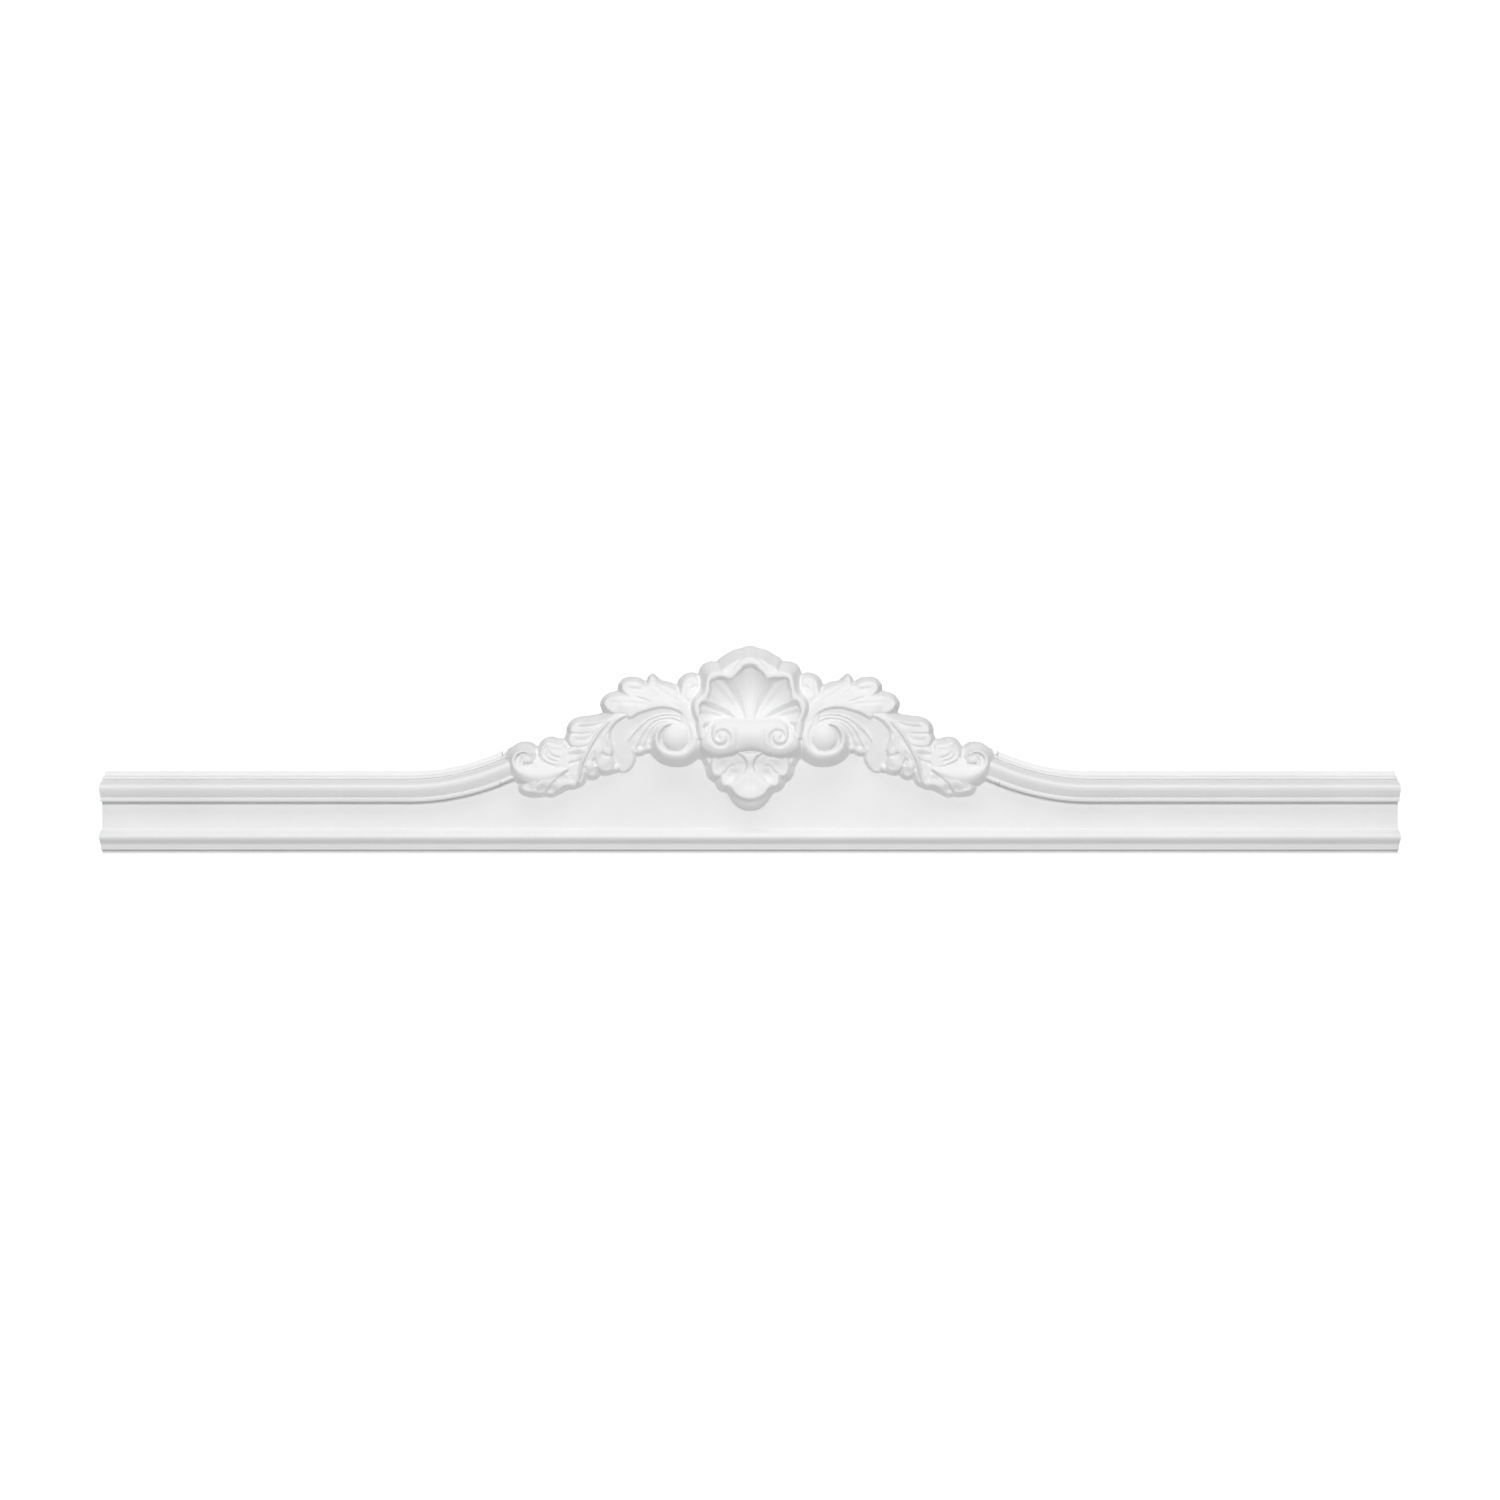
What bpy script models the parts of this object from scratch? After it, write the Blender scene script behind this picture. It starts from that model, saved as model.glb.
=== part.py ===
# A door pediment: a straight moulded run whose crown climbs in a sweep to a carved shell with leaf sprays.
# It is one casting from an open mould, so everything rises from one flat back, and each point of the front
# is the highest of the forms that lie there. The front faces -Y and the flat back lies on the plane y = 0.
import bmesh
import bpy
import numpy as np

# Driving sizes, in metres
LENGTH = 1.302            # from end to end of the run
BASE_HEIGHT = 0.0252      # the moulding along the bottom edge
STRIP_HEIGHT = 0.0257     # the flat strip between the two mouldings
CROWN_HEIGHT = 0.0316     # the moulding along the top edge
BASE_DEPTH = 0.032        # how far the bottom moulding stands off the wall
CROWN_DEPTH = 0.032       # how far the top moulding stands off the wall
PANEL_DEPTH = 0.020       # how far the flat panel stands off the wall
CARVING_SPAN = 0.484      # from one end volute to the other
SWEEP_LENGTH = 0.114      # the stretch over which the crown climbs to the end volute

# The carving is drawn at full size in millimetres, from the middle and from the bottom edge
DRAWN_SPAN = 484.0        # the drawing's own width, volute to volute
DRAWN_LINE = 82.5         # where the run's top line lies in the drawing
DRAWN_PANEL = 20.0        # the panel's height off the wall in the drawing
CLIMB = 31.2              # how far the crown rises behind the volute
CROWN_STOP = 232.0        # where the crown ends, hidden behind the volute
SIDE_SLOPE = 2.0          # how steeply a form's side falls, in mm for each mm
DRAFT_SLOPE = 7.0         # how steeply the outline falls below the panel's level
FAR_BELOW = -60.0         # a height that lies behind the wall everywhere
TRIANGLES = 9000          # what the carved front is thinned to

# Moulding sections as shares: how far down from the top edge, and how far off the wall
CROWN_SECTION = (
    (0.000, 0.25), (0.139, 0.31), (0.152, 0.50), (0.165, 0.58), (0.234, 0.62), (0.259, 0.556), (0.285, 0.563),
    (0.310, 0.69), (0.364, 0.84), (0.423, 0.955), (0.500, 1.00), (0.585, 0.985), (0.649, 0.953),
    (0.712, 0.915), (0.775, 0.870), (0.823, 0.83), (0.842, 0.825), (0.854, 0.858), (0.902, 0.872),
    (0.950, 0.845), (0.975, 0.64), (1.000, 0.594))
# The bottom moulding, from the bottom edge up
BASE_SECTION = (
    (0.000, 0.45), (0.119, 0.52), (0.143, 0.63), (0.167, 0.765), (0.278, 0.785), (0.360, 0.802),
    (0.417, 0.833), (0.476, 0.886), (0.536, 0.941), (0.595, 0.98), (0.675, 1.00), (0.754, 0.978),
    (0.833, 0.90), (0.873, 0.828), (0.897, 0.781), (0.976, 0.662), (1.000, 0.640))
# How high the sheet of points has to reach over the carving, drawn
REACH = ((0, 217), (48, 207), (62, 192), (112, 188), (150, 173), (186, 150), (222, 124), (238, 118),
         (250, 103))

RUN_HEIGHT = BASE_HEIGHT + STRIP_HEIGHT + CROWN_HEIGHT
UNIT = CARVING_SPAN / DRAWN_SPAN


def smooth_path(points, steps=6):
    """Points along a smooth curve through a few given ones."""
    p = np.array(points, float)
    p = np.vstack((2 * p[0] - p[1], p, 2 * p[-1] - p[-2]))
    t = np.linspace(0, 1, steps, endpoint=False)[:, None]
    out = []
    for a, b, c, d in zip(p[:-3], p[1:-2], p[2:-1], p[3:]):
        bend = (2 * a - 5 * b + 4 * c - d) * t**2 + (3 * b - a - 3 * c + d) * t**3
        out.append(0.5 * (2 * b + (c - a) * t + bend))
    out.append(p[-2][None])
    return np.vstack(out)


def along_path(path, x, z):
    """For each point its distance to the path and how far along the path its nearest place is, 0 to 1."""
    ends = path[1:] - path[:-1]
    run = np.maximum(np.hypot(ends[:, 0], ends[:, 1]), 1e-6)
    start = np.concatenate(([0.0], np.cumsum(run)))
    best = np.full(x.shape, np.inf)
    along = np.zeros(x.shape)
    for (px, pz), (ex, ez), length, before in zip(path[:-1], ends, run, start):
        k = np.clip(((x - px) * ex + (z - pz) * ez) / length**2, 0, 1)
        far = np.hypot(x - px - k * ex, z - pz - k * ez)
        closer = far < best
        best = np.where(closer, far, best)
        along = np.where(closer, before + k * length, along)
    return best, along / start[-1]


def within(path, x, z):
    """Whether each point lies inside a closed path."""
    odd = np.zeros(x.shape, bool)
    for (ax, az), (bx, bz) in zip(path[:-1], path[1:]):
        if az != bz:
            odd ^= ((az > z) != (bz > z)) & (x < ax + (z - az) / (bz - az) * (bx - ax))
    return odd


class Form:
    """One carved form: the points near it, their heights, and whether each lies on its face."""

    def __init__(self, at, x, z, height, face):
        self.at, self.x, self.z, self.height, self.face = at, x, z, height, face

    def line(self, points, width, depth, fade=0.2):
        """A round-bottomed line along a curve, cut where depth is negative, fading out at its ends."""
        far, u = along_path(smooth_path(points), self.x, self.z)
        ends = np.clip(np.minimum(u, 1 - u) / fade, 0, 1)
        self.height = self.height + depth * ends * np.exp(-(far / width)**2) * self.face
        return self

    def lines(self, curves, width, depth, fade=0.2):
        for points in curves:
            self.line(points, width, depth, fade)
        return self


class Carving:
    """The heights of all the forms laid on the sheet so far, the highest one counting at each point."""

    def __init__(self, x, z):
        self.x, self.z = x, z
        self.height = np.full(x.shape, FAR_BELOW)

    def near(self, low, high, margin):
        """The points within a margin of a box."""
        return np.flatnonzero((self.x > low[0] - margin) & (self.x < high[0] + margin)
                              & (self.z > low[1] - margin) & (self.z < high[1] + margin))

    def keep(self, at, height):
        self.height[at] = np.maximum(self.height[at], height)

    def add(self, form):
        self.keep(form.at, form.height)

    def face(self, edges, levels, roll=1.0, wide=2.0, slope=SIDE_SLOPE, blend=20.0):
        """A face inside smooth edge curves that meet at corners, through spot heights (x, z, height).
        Its rim is rounded by roll over wide, and its side falls away outside."""
        path = np.vstack([smooth_path(edge) for edge in edges])
        path = np.vstack((path, path[:1]))
        at = self.near(path.min(0), path.max(0), 34)
        x, z = self.x[at], self.z[at]
        far, u = along_path(path, x, z)
        inside = within(path, x, z)
        weights = [((x - px)**2 + (z - pz)**2 + blend)**-1.5 for px, pz, ph in levels]
        level = sum(w * spot[2] for w, spot in zip(weights, levels)) / sum(weights)
        v = np.clip(far / wide, 0, 1)
        top = level - roll + roll * np.sqrt(1 - (1 - v)**2)
        return Form(at, x, z, np.where(inside, top, level - roll - slope * far), inside)

    def rib(self, points, half_widths, heights, crown):
        """A rounded rib along a curve, with half widths and heights that change along it."""
        path = smooth_path(points, 8)
        at = self.near(path.min(0), path.max(0), max(half_widths) + 34)
        far, u = along_path(path, self.x[at], self.z[at])
        half = np.interp(u, np.linspace(0, 1, len(half_widths)), half_widths)
        level = np.interp(u, np.linspace(0, 1, len(heights)), heights)
        v = np.clip(far / half, 0, 1)
        self.keep(at, level + crown * (1 - v**2) - SIDE_SLOPE * np.maximum(far - half, 0))

    def ball(self, centre, radius, height, crown):
        """A round boss that stands crown above its rim."""
        low, high = np.array(centre) - radius, np.array(centre) + radius
        at = self.near(low, high, 34)
        far = np.hypot(self.x[at] - centre[0], self.z[at] - centre[1])
        v = np.clip(far / radius, 0, 1)
        self.keep(at, height + crown * np.sqrt(1 - v**2) - SIDE_SLOPE * np.maximum(far - radius, 0))


def carve_shell(sheet):
    """The scallop shell: a lobed rim, a hollow that rises to the hinge, ridges from each notch."""
    hinge = 118.0
    notch_angle = np.array([-15.7, 15.7, 51.0, 73.2, 91.0])
    rim_line = smooth_path([(-10, 72.6), (-5, 76.6), (0, 78.2), (5, 76.6), (10, 72.6), (15, 67.8), (20, 67.4),
                            (25, 70.2), (30, 73.0), (35, 72.8), (40, 68.2), (45, 63.6), (50, 62.2),
                            (55, 63.8), (60, 63.8), (65, 61.2), (70, 57.0), (74, 53.4), (80, 52.0),
                            (86, 50.6), (92, 49.6)])
    at = np.flatnonzero((np.abs(sheet.x) < 85) & (sheet.z > 95))
    x, z = sheet.x[at], sheet.z[at] - hinge
    r = np.hypot(x, z)
    angle = np.degrees(np.arctan2(np.abs(x), z))

    def lobe_share(a):
        k = np.clip(np.searchsorted(notch_angle, a) - 1, 0, 3)
        return np.clip((a - notch_angle[k]) / (notch_angle[k + 1] - notch_angle[k]), 0, 1)

    outer = np.interp(angle, *rim_line.T)
    rim_width = 7.6 - 2.0 * np.clip((angle - 10) / 20, 0, 1)
    inner = outer - rim_width
    rho = np.clip(r / inner, 0, 1)
    bend = 1 + (0.95 - 0.01 * angle) * (1 - rho)
    phi = 2 * lobe_share(np.minimum(angle * bend, 100)) - 1
    ridges = 4.8 * np.abs(phi)**5 + 0.9 * np.cos(3 * np.pi * phi) * rho
    hollow = 22.5 + 24.0 * (1 - rho)**2 + 17.0 * rho**3.2 + ridges * np.clip(rho * 1.8 - 0.15, 0, 1)
    hollow = np.minimum(hollow, 45.5 - 12.0 * np.clip((angle - 72) / 12, 0, 1))
    rim_height = 43.5 - 2.0 * np.clip((angle - 30) / 60, 0, 1)
    across = (r - (outer - rim_width / 2)) / (rim_width / 2)
    rim = rim_height + 0.6 * (1 - across**2)
    height = np.where(r < inner, np.maximum(hollow, rim_height - 3.5 * (inner - r)), rim)
    height = np.where(r > outer, rim_height - SIDE_SLOPE * (r - outer), height)
    gable = np.interp(angle, [0, 10, 20, 33, 40, 50, 90], [89.5, 87.5, 83.5, 77, 72, 66, 57])
    behind = np.minimum(rim_height - 2.0, rim_height - SIDE_SLOPE * (r - gable + 12.0))
    height = np.where(r > inner + 1, np.maximum(height, behind), height)
    sheet.keep(at, np.where(z < -3, FAR_BELOW, height))


def carve_console(sheet):
    """The rolled console under the shell, with a volute cut into each end."""
    half = [(0, 133), (24, 133), (33, 131.5), (40, 127), (45.5, 120.5), (49, 113.5), (48.5, 106.5),
            (43.5, 101.5), (36, 99), (28, 98.3), (18, 100), (8, 103.2), (0, 104.2)]
    edge = half + [(-x, z) for x, z in half[-2:0:-1]] + half[:1]
    form = sheet.face([edge], [(0, 120, 48.3), (-30, 117, 48.0), (30, 117, 48.0)], roll=9.5, wide=15)
    for s in (-1, 1):
        spiral = [(36, 129.5), (39, 124), (39, 117), (36.5, 111.5), (31.5, 108.5), (26, 109), (22, 113),
                  (21.5, 118.5), (25, 122.5), (30, 122.5), (33, 119), (31.5, 115.5), (28.5, 115.5)]
        form.line([(s * x, z) for x, z in spiral], 1.7, -3.4, fade=0.08)
        form.line([(s * 16, 131), (s * 13.5, 125), (s * 12.8, 115), (s * 13, 105)], 1.2, -1.1, fade=0.1)
        form.line([(s * 14.7, 128), (s * 15, 116), (s * 15.2, 106)], 1.4, 0.9, fade=0.1)
    sheet.add(form)


def carve_drop(sheet):
    """The leaf drop under the console: three lobes a side, a broad middle leaf and its foot."""
    for s in (-1, 1):
        def side(*points):
            return [(s * p[0], *p[1:]) for p in points]
        sheet.add(sheet.face([side((30, 106), (43, 104), (44, 97), (42.5, 91.5), (38.5, 89.5), (33, 92))],
                             side((36, 102, 32), (42, 93, 30.5))))
        form = sheet.face([side((0, 104), (24, 104), (35, 99), (38.5, 92), (38.5, 85), (36.5, 79.5),
                                (32, 77.7), (27, 79.5), (22.5, 83.5), (18, 88.5), (10, 91), (0, 91))],
                          side((8, 98, 37), (24, 97, 37), (30, 89, 33), (35, 80.5, 35),
                               (20, 91, 33.5)), roll=1.4)
        form.line(side((14, 97), (26, 96.5), (35, 93)), 1.2, -0.8)
        form.line(side((24, 90), (30, 86), (34, 83)), 2.4, -0.9)
        sheet.add(form)
        form = sheet.face([side((0, 101), (8, 100), (13, 94), (17, 89.5), (22, 84), (28, 78.5), (29.3, 73.5),
                                (27.5, 69), (23, 67.7), (18, 69), (10, 70), (0, 76))],
                          side((6, 97, 37), (6, 86, 35.5), (14, 89, 34.2), (17, 80, 31.5), (25, 70, 35),
                               (27, 76, 34.5), (10, 76, 34)), roll=1.4)
        sheet.add(form.line(side((13, 84), (18, 79), (23, 74.5)), 1.8, -0.8))
    half = [(12, 101), (7, 97), (3.8, 91), (3.8, 85), (7, 80), (12.5, 74.5), (19, 67.5)]
    foot = [(19, 66.5), (15, 60.5), (8, 56), (0, 54.5), (-8, 56), (-15, 60.5), (-19, 66.5)]
    form = sheet.face([half, foot, [(-x, z) for x, z in half[::-1]]],
                      [(0, 98, 41.5), (0, 86, 39), (0, 72, 40), (0, 60, 41.5), (12, 66, 40.5),
                       (-12, 66, 40.5)],
                      roll=1.6, wide=2.5, slope=3)
    for s in (-1, 1):
        form.line([(s * 1.6, 90), (s * 1.6, 80), (s * 2.2, 64)], 0.9, -0.9)
        form.line([(s * 4.5, 84), (s * 4.8, 76), (s * 5.5, 66)], 1.0, -0.7)
    sheet.add(form)
    sheet.ball((0, 65.8), 21.8, 20, 18)


def carve_upper_leaf(sheet, side):
    """The ear beside the shell and the broad leaf that lies over the scroll."""
    form = sheet.face([side((50, 119), (49, 139), (51, 158), (51.5, 169), (54, 175), (58.5, 177.2),
                            (63.5, 176), (67.5, 172), (69, 165), (70, 154), (68, 119))],
                      side((58, 139, 35.5), (60, 174, 31.0), (66, 168, 31),
                           (60, 154, 34)), roll=1.6, slope=2.4)
    form.line(side((54, 150), (52.5, 159), (54, 167.5), (58, 166), (57.5, 162)), 1.1, -1.6, 0.12)
    form.line(side((61, 152), (62, 161), (60, 170)), 2.4, 0.8)
    sheet.add(form)
    edges = [side((58, 119), (61, 149), (70, 157)),
             side((70, 157.5), (74, 163), (80, 166.7), (88, 169.5), (93, 172), (97, 177), (98.7, 178.4)),
             side((98.9, 178.4), (100.5, 176), (102, 170), (104, 167.5)),
             side((104, 168), (110, 171.3), (117, 173), (124, 172), (128, 169), (128, 164), (125, 160),
                  (121.5, 157.5)),
             side((121.5, 157), (128, 158.5), (135, 158), (142, 156), (146, 151.5), (145, 147), (141, 143),
                  (138, 141.5)),
             side((138, 141), (130, 140.8), (123, 139.5)),
             side((123, 139), (120, 136), (111, 141), (103, 143.5), (90, 146.5), (77, 145), (67, 139),
                  (60, 127))]
    form = sheet.face(edges, side((65, 145, 36), (100, 150, 37), (125, 147, 36), (98, 176, 23), (96, 171, 30),
                                  (82, 165, 31), (118, 171, 30.5), (127, 166, 30.5), (144, 152, 30.5),
                                  (134, 143, 33.5), (108, 143, 37.5), (85, 148, 37)), roll=1.3, slope=2.4)
    form.lines([side((68, 146), (86, 155), (108, 163), (122, 167)), side((70, 152), (84, 161), (96, 171)),
                side((100, 150), (118, 151), (140, 152))], 1.5, -0.8)
    form.lines([side((121, 157.5), (112, 156), (96, 151)), side((103.5, 167.5), (99, 163), (90, 157))], 1.1,
               -1.7, 0.4)
    form.lines([side((104, 170), (112, 168), (122, 169)), side((76, 158), (88, 165), (97, 174))], 1.6, 0.8)
    sheet.add(form)


def carve_lower_leaf(sheet, side):
    """The leaf that runs down from the scroll: its two halves, its midrib and its tips."""
    edges = [side((123, 139), (134, 138.5), (143, 135.5), (152, 133), (162, 132), (171, 132), (177.5, 129.5),
                  (180, 124.5), (179, 121)),
             side((176, 120.3), (180, 119), (182, 115), (180, 110), (178, 107.8)),
             side((176, 107), (181, 105.5), (185.5, 102), (187, 97), (185.5, 93), (181, 91)),
             side((176, 90), (182, 89), (184.5, 86), (184.5, 79), (183, 74), (186, 69), (176, 68), (172, 75),
                  (164, 89), (154, 109), (145, 122), (134, 132))]
    form = sheet.face(edges, side((140, 134, 37), (150, 125, 36), (158, 110, 35.5), (165, 104, 36),
                                  (178, 128, 30.5), (181, 113, 30.5), (185, 97, 30.5), (172, 80, 31),
                                  (180, 71, 29), (176, 95, 32)),
                      roll=1.4, slope=2.3)
    form.lines([side((180, 120.3), (168, 120), (156, 121)), side((180, 107.2), (168, 107), (158, 110)),
                side((184, 90.5), (172, 93), (162, 99))], 0.9, -1.9, 0.25)
    form.lines([side((142, 135), (155, 128.5), (174, 126.5)), side((152, 125), (162, 115), (176, 113.5)),
                side((164, 101), (174, 99.5), (182, 99))], 1.3, -0.9)
    form.lines([side((146, 134), (158, 131), (172, 130)), side((156, 122), (166, 118), (177, 117.5)),
                side((166, 105), (176, 103.5), (183, 101))], 1.3, 0.7)
    form.line(side((183.5, 88), (184, 80), (182.5, 75)), 0.9, -1.6)
    sheet.add(form)
    edges = [side((123, 139), (132, 138), (142, 129), (153, 112), (162, 94), (169, 78), (174, 70)),
             side((174, 70), (169, 71.5), (166.5, 77), (165.5, 83)),
             side((165, 83), (162, 78.5), (157, 77.5), (154, 80), (153.5, 85)),
             side((153.5, 88), (150, 84), (145, 82.5), (139, 84), (137, 89.5), (139, 95.5)),
             side((140, 97.5), (138, 104), (139, 110), (141, 116), (140, 124), (134, 132))]
    form = sheet.face(edges, side((134, 134, 37), (143, 119, 36.5), (152, 106, 36), (162, 88, 34),
                                  (139, 86, 29), (156, 79.5, 28.5), (167, 74, 28), (140, 100, 33.5),
                                  (146, 92, 33)), roll=1.4)
    form.lines([side((143, 130), (149, 118), (150, 106), (147, 100)), side((141, 124), (144.5, 114),
                                                                           (143, 104))],
               1.2, -1.2, 0.15)
    form.line(side((156, 104), (156, 94), (153, 90)), 1.2, -1.0)
    form.line(side((164, 92), (165, 86), (165.5, 82)), 1.1, -1.2)
    sheet.add(form)
    sheet.rib(side((141, 133), (150, 123), (157, 112), (163, 101), (168, 91), (171, 80), (173, 72)),
              (1.2, 1.3, 1.3, 1.2, 1.1, 1.0, 0.8), (37.2, 37.6, 37.4, 36.6, 35.4, 33.4, 30.5), 1.0)
    sheet.add(sheet.face([side((178, 82), (190, 79), (198, 74), (201, 67), (202.5, 60.7), (198, 60),
                               (193, 63.5), (186, 68), (176, 70))],
                         side((179, 76, 29.5), (186, 77, 33), (193, 72, 34), (200, 62, 27.5))))
    form = sheet.face([side((190, 80), (202, 77.5), (211, 75.5), (217, 72), (221.5, 67.5), (221, 63.8),
                            (214, 61.6), (207, 61), (203, 64), (199, 68), (195, 73))],
                      side((196, 77, 35.5), (206, 73, 36), (213, 70, 35.5), (217, 66, 31), (208, 63, 28.5)),
                      roll=1.2)
    form.line(side((210, 73.5), (213.5, 70), (214.5, 64)), 1.1, -1.4)
    sheet.add(form.line(side((208, 73), (210.5, 69), (211, 64)), 1.2, 0.7))


def carve_volutes(sheet, side):
    """The small curl, and the end volute, a stem that curls in. The crown dies away under it."""
    form = sheet.face([side((180, 84), (183, 100), (186, 108.5), (190, 109.5), (195, 110), (200, 111.5),
                            (205, 110.5), (208.5, 106), (210, 101), (209, 96), (205, 92), (199, 89),
                            (193, 87))],
                      side((194, 107, 31), (206, 106, 31), (196, 99, 32.5),
                           (190, 92, 32)), roll=1.4, slope=2.2)
    form.line(side((201, 109), (204.5, 106), (205.8, 101), (204, 97), (199, 93.8), (192, 92)), 1.1, -1.9, 0.1)
    form.line(side((202, 104), (200.5, 100), (196, 97.2), (189, 95.5)), 1.1, -1.8, 0.2)
    form.line(side((188, 107), (194, 106.5), (200, 108)), 1.2, 0.7)
    sheet.add(form)
    sheet.add(sheet.face([side((178, 90), (188, 86), (196, 88), (204, 91), (209, 95.5), (215, 94), (216, 99),
                               (219, 102.5), (223, 104.5), (228, 105), (233, 103.5), (237, 100), (240, 95),
                               (241, 89), (238, 80), (231, 73.5), (222, 70), (212, 70), (200, 73),
                               (186, 77))],
                         side((225, 92, 31.5), (236, 92, 31.5), (228, 76, 29), (212, 93.5, 30),
                              (204, 90.5, 30.5), (212, 87, 33.4), (203, 86, 33.4), (220, 87.5, 33.2),
                              (193, 85, 33), (212, 75, 30), (195, 80, 33),
                              (182, 86, 31.5)), roll=1.4, slope=2.2))
    sheet.rib(side((184, 84), (192, 81), (201, 78.8), (211, 78), (221, 79), (230, 82.6), (235.7, 89),
                   (236, 96.5), (231.5, 101.5), (225, 102.8), (219.5, 99.5)),
              (2.0, 6.4, 9.6, 10.6, 9.6, 7.6, 5.6, 4.0, 3.0, 2.5, 2.0),
              (30.5, 30.5, 30.5, 30.5, 30.5, 31, 31, 31, 31, 31, 30.5), 5.8)
    sheet.rib(side((228, 98), (231, 93), (230, 87.5), (225.5, 85.5)), (1.6, 2.2, 2.4, 1.2),
              (32, 32.5, 32.5, 32), 1.8)
    sheet.ball(side((222.5, 95))[0], 5.5, 31.5, 3.0)


def carve_scroll(sheet, side):
    """The C scroll: a cove that steps down from the leaf, a fan of flutes, the ring round the ball."""
    sheet.add(sheet.face([side((59, 127), (65, 137), (75, 143.5), (86, 146), (97, 145), (108, 142),
                               (120, 139.5), (131, 135), (138, 127), (141, 118), (141.5, 110), (139, 101),
                               (136.5, 93), (133, 85.5), (127.5, 82), (121.5, 85), (117, 93), (117, 104),
                               (116, 116), (106, 128), (90, 135), (72, 131))],
                         side((64, 134, 34.5), (85, 144.5, 35), (106, 141, 35), (85, 140, 29.8),
                              (103, 134.5, 29.5), (115, 126, 29.5), (122, 116, 29.5), (129, 132, 34),
                              (136, 122, 33), (137, 110, 30.5), (130, 104, 28.5), (133, 92, 24.5),
                              (126, 84, 21.5), (122, 98, 26)),
                         roll=1.0, blend=100))
    form = sheet.face([side((62, 126), (67, 135.5), (75, 140), (85, 141), (95, 139), (103, 135), (110, 129.5),
                            (117, 122.5), (122, 115), (123.5, 109), (121, 104.5), (117.5, 101.8),
                            (111.5, 100.5), (107, 102.5), (103, 105.3), (98, 105.8), (93, 109.5), (91, 117),
                            (82, 127))],
                      side((66, 132, 32.5), (85, 137, 31.5), (105, 129, 31), (118, 117, 29.5),
                           (95, 128, 31.5), (88, 127, 32.5), (118, 104, 26.5), (110, 103, 26.5),
                           (96, 109, 27), (103, 113, 29)),
                      roll=0.8, wide=1.5)
    flutes = (
        (2.6, (64, 132.5), (70, 138), (78, 139.7), (88, 139.6), (97, 137), (105, 132.4), (113, 125),
         (120, 117), (122.5, 109)),
        (2.4, (66, 130.5), (74, 136), (84, 136.6), (94, 134.4), (101, 129.5), (107, 122), (111.5, 113),
         (115.5, 104.5)),
        (2.3, (72, 131), (82, 133.3), (91, 131.8), (98, 126.5), (103, 118), (106.5, 108.5)),
        (2.0, (84, 130.5), (91, 128.5), (96, 121), (99.5, 109)))
    for rise, *points in flutes:
        form.line(side(*points), 1.15, rise, fade=0.08)
    sheet.add(form)
    for x, z, r in ((96, 110, 3.4), (102.5, 107, 3.8), (110.5, 104.6, 4.2), (118.5, 105.4, 4.0)):
        sheet.ball(side((x, z))[0], r, 25.6, 2.6)
    sheet.rib(side((79, 130), (86, 128), (91.5, 122), (93.3, 114), (90.5, 106), (83.5, 100.8), (73, 99.3),
                   (64, 101.5), (57.5, 108.5), (56.2, 118), (58.5, 127), (63, 134)),
              (0.8, 2.2, 2.8, 3.2, 4.4, 5.2, 5.6, 5.6, 5.4, 5.0, 3.8, 1.6),
              (36.0, 35.8, 35.2, 34.6, 34.2, 34.0, 34.0, 34.0, 34.2, 34.2, 33.0, 31.0), 4.2)
    sheet.ball(side((74.5, 116))[0], 18, 31.2, 0.4)
    sheet.ball(side((73.7, 117))[0], 14.2, 32.6, 8.2)


def carved_heights(x, z):
    """Heights of the whole carving off the wall, all in drawn millimetres."""
    sheet = Carving(x.ravel(), z.ravel())

    def side(*points):
        return [tuple(p) for p in points]

    carve_shell(sheet)
    carve_console(sheet)
    carve_drop(sheet)
    carve_upper_leaf(sheet, side)
    carve_lower_leaf(sheet, side)
    carve_volutes(sheet, side)
    carve_scroll(sheet, side)
    height = sheet.height.reshape(x.shape)
    edge = DRAWN_PANEL - 1
    return np.where(height < edge, edge - (edge - height) * DRAFT_SLOPE, height)


def sweep(x):
    """How far the crown's top line has climbed at x, and how steeply it climbs there."""
    volute = CARVING_SPAN / 2 - 14 * UNIT
    left = np.clip(volute + SWEEP_LENGTH - np.abs(x), 0, SWEEP_LENGTH)
    rise = CLIMB * UNIT * (left / SWEEP_LENGTH)**2
    return rise, 2 * CLIMB * UNIT * left / SWEEP_LENGTH**2


def run_heights(x, z):
    """Heights of the crown, the panel and the bottom moulding off the wall, in metres."""
    rise, slope = sweep(x)
    down = (RUN_HEIGHT + rise - z) / np.sqrt(1 + slope**2)
    share, depth = np.array(CROWN_SECTION).T
    crown = np.interp(down, share * CROWN_HEIGHT, depth * CROWN_DEPTH, left=-0.03, right=-0.03)
    crown = np.where(np.abs(x) < CROWN_STOP * UNIT, -1.0, crown)
    behind = RUN_HEIGHT + (np.interp(np.abs(x) / UNIT, [0, 80, 150, 232],
                                     [150, 130, 113, 90]) - DRAWN_LINE) * UNIT
    lid = np.where(np.abs(x) < CROWN_STOP * UNIT, behind, RUN_HEIGHT + rise - CROWN_HEIGHT * 0.9)
    panel = np.where(z < lid, PANEL_DEPTH, -1.0)
    share, depth = np.array(BASE_SECTION).T
    base = np.interp(z, share * BASE_HEIGHT, depth * BASE_DEPTH, right=-1.0)
    return np.maximum(np.maximum(crown, panel), base)


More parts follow.
